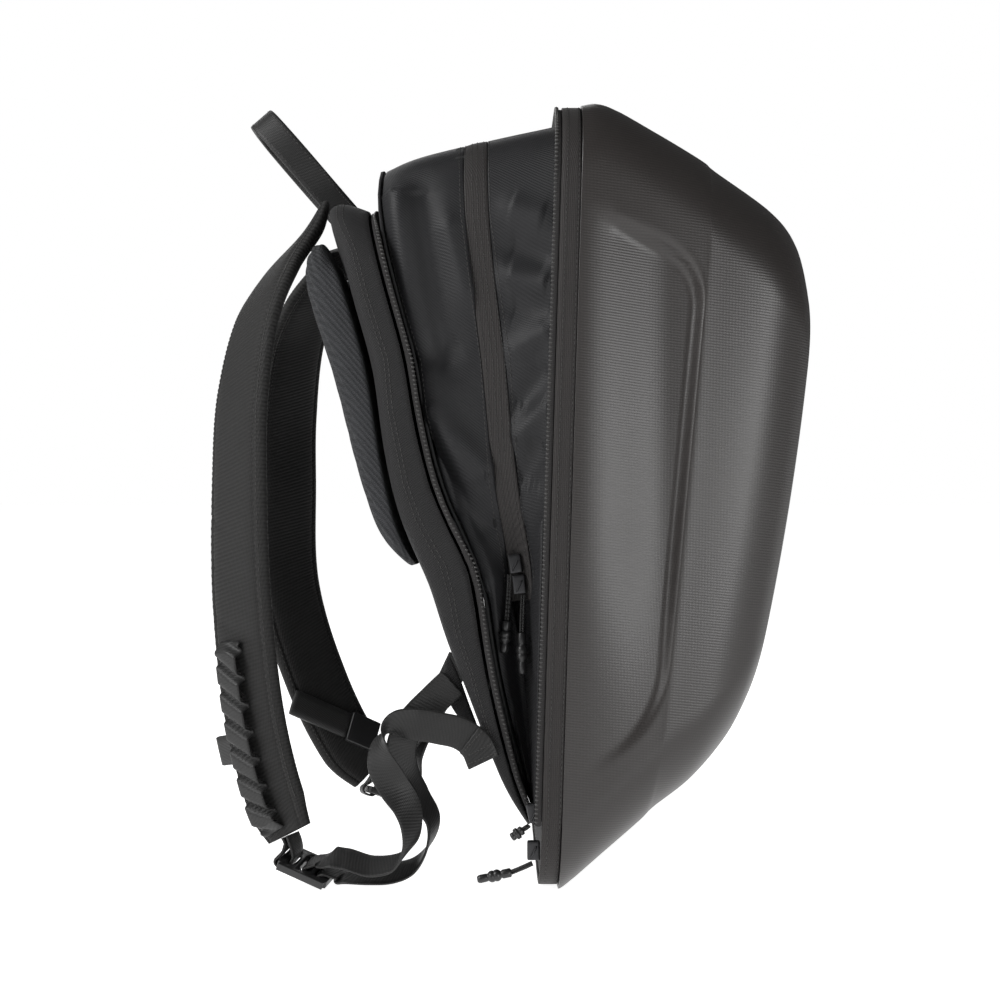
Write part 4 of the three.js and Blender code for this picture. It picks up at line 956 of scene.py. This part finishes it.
def daisyChain(side, name):
    frames = strapFrames(side, daisy["steps"], daisy["from"], daisy["to"])
    pitch = frames[-1]["run"] / daisy["loops"]
    for frameAt in frames:
        thick = strap["thickness"] / 2 * strapColumn("thick", frameAt["share"])
        height = -side * (thick + 0.0014)
        frameAt["at"] = frameAt["at"] - frameAt["across"] * daisy["off"] + frameAt["out"] * height

    def lift(frameAt, across):
        run = frameAt["run"] + side * across * daisy["slant"]
        part = (run / pitch) % 1
        tack = min(1, max(0, (min(part, 1 - part) - 0.07) / 0.16))
        ends = min(1, frameAt["run"] / pitch * 3, (frames[-1]["run"] - frameAt["run"]) / pitch * 3)
        return -side * daisy["bulge"] * math.sin(math.pi / 2 * tack) * ends
    form = strip(frames, webbingSection(0.0196, 0.0017, lift))
    addPiece("loopWebbing." + name, form, "webbing", ["daisy_" + name])
    tacks = []
    for loop in range(1, daisy["loops"]):
        for step in range(-8, 9):
            across = step * 0.001
            run = loop * pitch - side * across * daisy["slant"]
            index = min(max(int(run / frames[-1]["run"] * daisy["steps"]), 0), daisy["steps"])
            at = frames[index]
            for shift in (-0.0008, 0.0008):
                spot = at["at"] + at["across"] * across + at["tangent"] * shift + at["out"] * (-side * 0.0011)
                tacks.append((spot, at["across"] * 0.8 - at["tangent"] * side * daisy["slant"],
                              at["out"] * -side))
    beads("barTacks." + name, "thread", tacks, {**stitch, "length": 0.0014})


for name, side in (("left", -1), ("right", 1)):
    form = strip(strapFrames(side, strap["steps"]), strapSection(side))
    piece = addPiece("shoulderStrap." + name, form, "strapCloth", ["strap_" + name])
    strapTree = treeOf(piece)
    rows = []
    for mark in (-strap["seam"], strap["seam"]):
        for faceUp in (-1, 1):
            rows += strapRow(strapTree, side, mark, faceUp, 0.03, 0.97)
            rows += strapRow(strapTree, side, mark * 1.13, faceUp, 0.03, 0.9)
    beads("strapStitches." + name, "thread", rows, stitch)
    daisyChain(side, name)
    softened("sternum_" + name, "tiedWebbing", {"name": "chestWebbing." + name, "levels": 2, "crease": 50,
                                                "sharp": 0.7})
    softened("buckle_" + name, "plastic", {"name": "ladderBuckle." + name, "bevel": 0.0009, "levels": 1})
    softened("buckle_loop_" + name, "tiedWebbing", {"name": "buckleWebbing." + name, "levels": 2,
                                                    "crease": 50, "sharp": 0.8})
print("straps made")

softened("sternum_slide", "plastic", {"name": "chestSlide", "bevel": 0.0012, "levels": 1})

# The folded hem of the free tail, with three rows of stitches.
hem = {"from": 0.925, "width": 0.0208, "thickness": 0.0046}
hemFrames = framesAlong(vectors(routes["tailLeft"]["at"]), vectors(routes["tailLeft"]["across"]), 24,
                        hem["from"], 1.0)
addPiece("tailHem", strip(hemFrames, webbingSection(hem["width"], hem["thickness"])), "webbing")
hemPlaces = []
for row in (0.15, 0.5, 0.85):
    at = hemFrames[int(row * 24)]
    for step in range(-4, 5):
        for face in (-1, 1):
            spot = at["at"] + at["across"] * (step * 0.0021) + at["out"] * (face * hem["thickness"] / 2)
            hemPlaces.append((spot, at["across"], at["out"] * face))
beads("hemStitches", "thread", hemPlaces, {**stitch, "length": 0.0017})

# Carry handle: a loop of doubled webbing.
handle = {"x": -0.1085, "z": 0.4424, "rise": 0.097, "span": 0.074, "lean": 41, "width": 0.019,
          "thickness": 0.003, "legs": [(0.45, 0), (0.46, 0.2), (0.52, 0.62), (0.42, 0.9), (0.2, 1)]}
lean = math.radians(handle["lean"])
left = [Vector((handle["x"] - math.sin(lean) * up * handle["rise"], -out * handle["span"],
                handle["z"] + math.cos(lean) * up * handle["rise"])) for out, up in handle["legs"]]
handleLine = left + [Vector((p.x, -p.y, p.z)) for p in reversed(left)]
handleAcross = [Vector((math.cos(lean), 0, math.sin(lean)))] * len(handleLine)
handleFrames = framesAlong(handleLine, handleAcross, 160)
handleForm = strip(handleFrames, webbingSection(handle["width"], handle["thickness"]))
addPiece("carryHandle", handleForm, "webbing", ["grab_handle"])
handlePlaces = []
for at, after in zip(handleFrames[4:-4:2], handleFrames[6:-2:2]):
    for mark in (-0.37, 0.37):
        for face in (-1, 1):
            spot = at["at"] + at["across"] * (mark * handle["width"]) + at["out"] * (face * 0.0015)
            handlePlaces.append((spot, after["at"] - at["at"], at["out"] * face))
beads("handleStitches", "thread", handlePlaces, {**stitch, "length": 0.0021})
print("handle made")


# A round piece with a given profile along a straight line.
def turned(form, start, end, profile, sidesRound=20):
    along = (end - start).normalized()
    across = along.orthogonal().normalized()
    out = along.cross(across)
    rings = []
    for share, radius in profile:
        middle = start + (end - start) * share
        rings.append([form.verts.new(middle + across * (math.cos(a) * radius) + out * (math.sin(a) * radius))
                      for a in (2 * math.pi * i / sidesRound for i in range(sidesRound))])
    for first, second in zip(rings, rings[1:]):
        for i in range(sidesRound):
            j = (i + 1) % sidesRound
            form.faces.new((first[i], first[j], second[j], second[i]))
    form.faces.new(rings[0][::-1])
    form.faces.new(rings[-1])


# Cord pulls: a doubled cord, a sleeve, its knot and its shaped end.
pulls = {
    "rear": [(0.003, -0.132, 0.1992), (0.0026, -0.1325, 0.19), (0.0012, -0.133, 0.17),
             (-0.0006, -0.1345, 0.15)],
    "front": [(0.0115, -0.133, 0.1864), (0.011, -0.134, 0.176), (0.0106, -0.136, 0.163),
              (0.0112, -0.139, 0.137)],
    "hinge": [(0.015, -0.1514, 0.0455), (0.0134, -0.152, 0.0445), (0.011, -0.152, 0.043),
              (0.004, -0.152, 0.038)],
    "foot": [(0.017, -0.1505, 0.022), (0.0115, -0.151, 0.0196), (0.004, -0.151, 0.0165),
             (-0.017, -0.151, 0.012)],
}
pullShape = [(0, 0.0019), (0.015, 0.0025), (0.04, 0.0028), (0.24, 0.0028), (0.27, 0.0026), (0.29, 0.0021),
             (0.31, 0.0024), (0.35, 0.0033), (0.42, 0.0037), (0.48, 0.0035), (0.5, 0.0031), (0.53, 0.0036),
             (0.6, 0.0036), (0.66, 0.0028), (0.69, 0.0022), (0.72, 0.0025), (0.9, 0.0026), (0.97, 0.0023),
             (1, 0.0015)]
cordRadius = 0.00078
for name, points in pulls.items():
    start, bend, seat, end = vectors(points)
    form = bmesh.new()
    frames = framesAlong([start, bend, seat], [Vector((1, 0, 0.2))] * 3, 16)
    for shift in (-cordRadius, cordRadius):
        for at, after in zip(frames, frames[1:]):
            step = at["across"] * shift
            turned(form, at["at"] + step, after["at"] + after["across"] * shift,
                   [(-0.05, cordRadius), (0.5, cordRadius * 1.06), (1.05, cordRadius)], 10)
    bmesh.ops.recalc_face_normals(form, faces=form.faces)
    addPiece("pullCord." + name, form, "tiedWebbing", ["pull_cord_" + name])
    form = bmesh.new()
    turned(form, seat, end, pullShape, 28)
    bmesh.ops.recalc_face_normals(form, faces=form.faces)
    addPiece("pullEnd." + name, form, "plastic", ["pull_end_" + name])
    softened("slider_" + name, "lacquer", {"name": "zipSlider." + name, "bevel": 0.0009, "levels": 1})
    low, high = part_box("slider_" + name)
    form = bmesh.new()
    middle = (low + high) / 2
    face = middle + Vector((0, (low.y - high.y) / 2, 0))
    ring = [face + Vector((math.cos(a) * 0.0016, -0.0012 * math.sin(a), math.cos(a) * 0.0034 - 0.001))
            for a in (math.pi * i / 10 for i in range(11))]
    for at, after in zip(ring, ring[1:]):
        turned(form, at, after, [(-0.1, 0.0006), (1.1, 0.0006)], 10)
    bmesh.ops.recalc_face_normals(form, faces=form.faces)
    addPiece("sliderBridge." + name, form, "lacquer")
print("pulls made")

# Floor, light and world.
floorForm = bmesh.new()
bmesh.ops.create_grid(floorForm, x_segments=2, y_segments=2, size=60)
floorMesh = bpy.data.meshes.new("floor")
floorForm.to_mesh(floorMesh)
floorForm.free()
floor = bpy.data.objects.new("floor", floorMesh)
floor.location.z = -0.0003
objects.link(floor)
floorFinish = Finish("paleFloor", "cloth", {
    "Base Color": (0.85, 0.85, 0.85, 1), "Roughness": 0.9, "Specular IOR Level": 0.1,
    "Emission Color": (1, 1, 1, 1), "Emission Strength": 0.93,
})
floor.data.materials.append(floorFinish.material)

lamps = {
    "topLeft": {"place": (-1.4, -0.6, 1.25), "aim": (-0.05, 0, 0.3), "size": 0.9, "power": 26},
    "near": {"place": (1.25, -1.9, 0.3), "aim": (0.05, 0, 0.25), "size": 0.6, "power": 16.5},
    "left": {"place": (-1.7, -1.2, 0.6), "aim": (-0.05, 0, 0.25), "size": 1.0, "power": 6},
    "back": {"place": (-0.4, 1.7, 1.2), "aim": (0, 0, 0.25), "size": 1.2, "power": 8},
}
for name, lamp in lamps.items():
    data = bpy.data.lights.new(name, "AREA")
    data.shape = "SQUARE"
    data.size = lamp["size"]
    data.energy = lamp["power"]
    light = bpy.data.objects.new(name, data)
    light.location = lamp["place"]
    light.rotation_euler = (Vector(lamp["aim"]) - Vector(lamp["place"])).to_track_quat("-Z", "Y").to_euler()
    objects.link(light)
studio = bpy.data.worlds.new("studio")
studio.use_nodes = True
tree = studio.node_tree
glow = tree.nodes["Background"]
seen = tree.nodes.new("ShaderNodeBackground")
for background, strength in ((glow, 0.09), (seen, 1.0)):
    background.inputs["Color"].default_value = (1, 1, 1, 1)
    background.inputs["Strength"].default_value = strength
path = tree.nodes.new("ShaderNodeLightPath")
either = tree.nodes.new("ShaderNodeMixShader")
wires = (path.outputs["Is Camera Ray"], glow.outputs[0], seen.outputs[0])
for place, wire in enumerate(wires):
    tree.links.new(wire, either.inputs[place])
tree.links.new(either.outputs[0], tree.nodes["World Output"].inputs["Surface"])
bpy.context.scene.world = studio
bpy.context.scene.view_settings.view_transform = "Standard"
print("lights set")
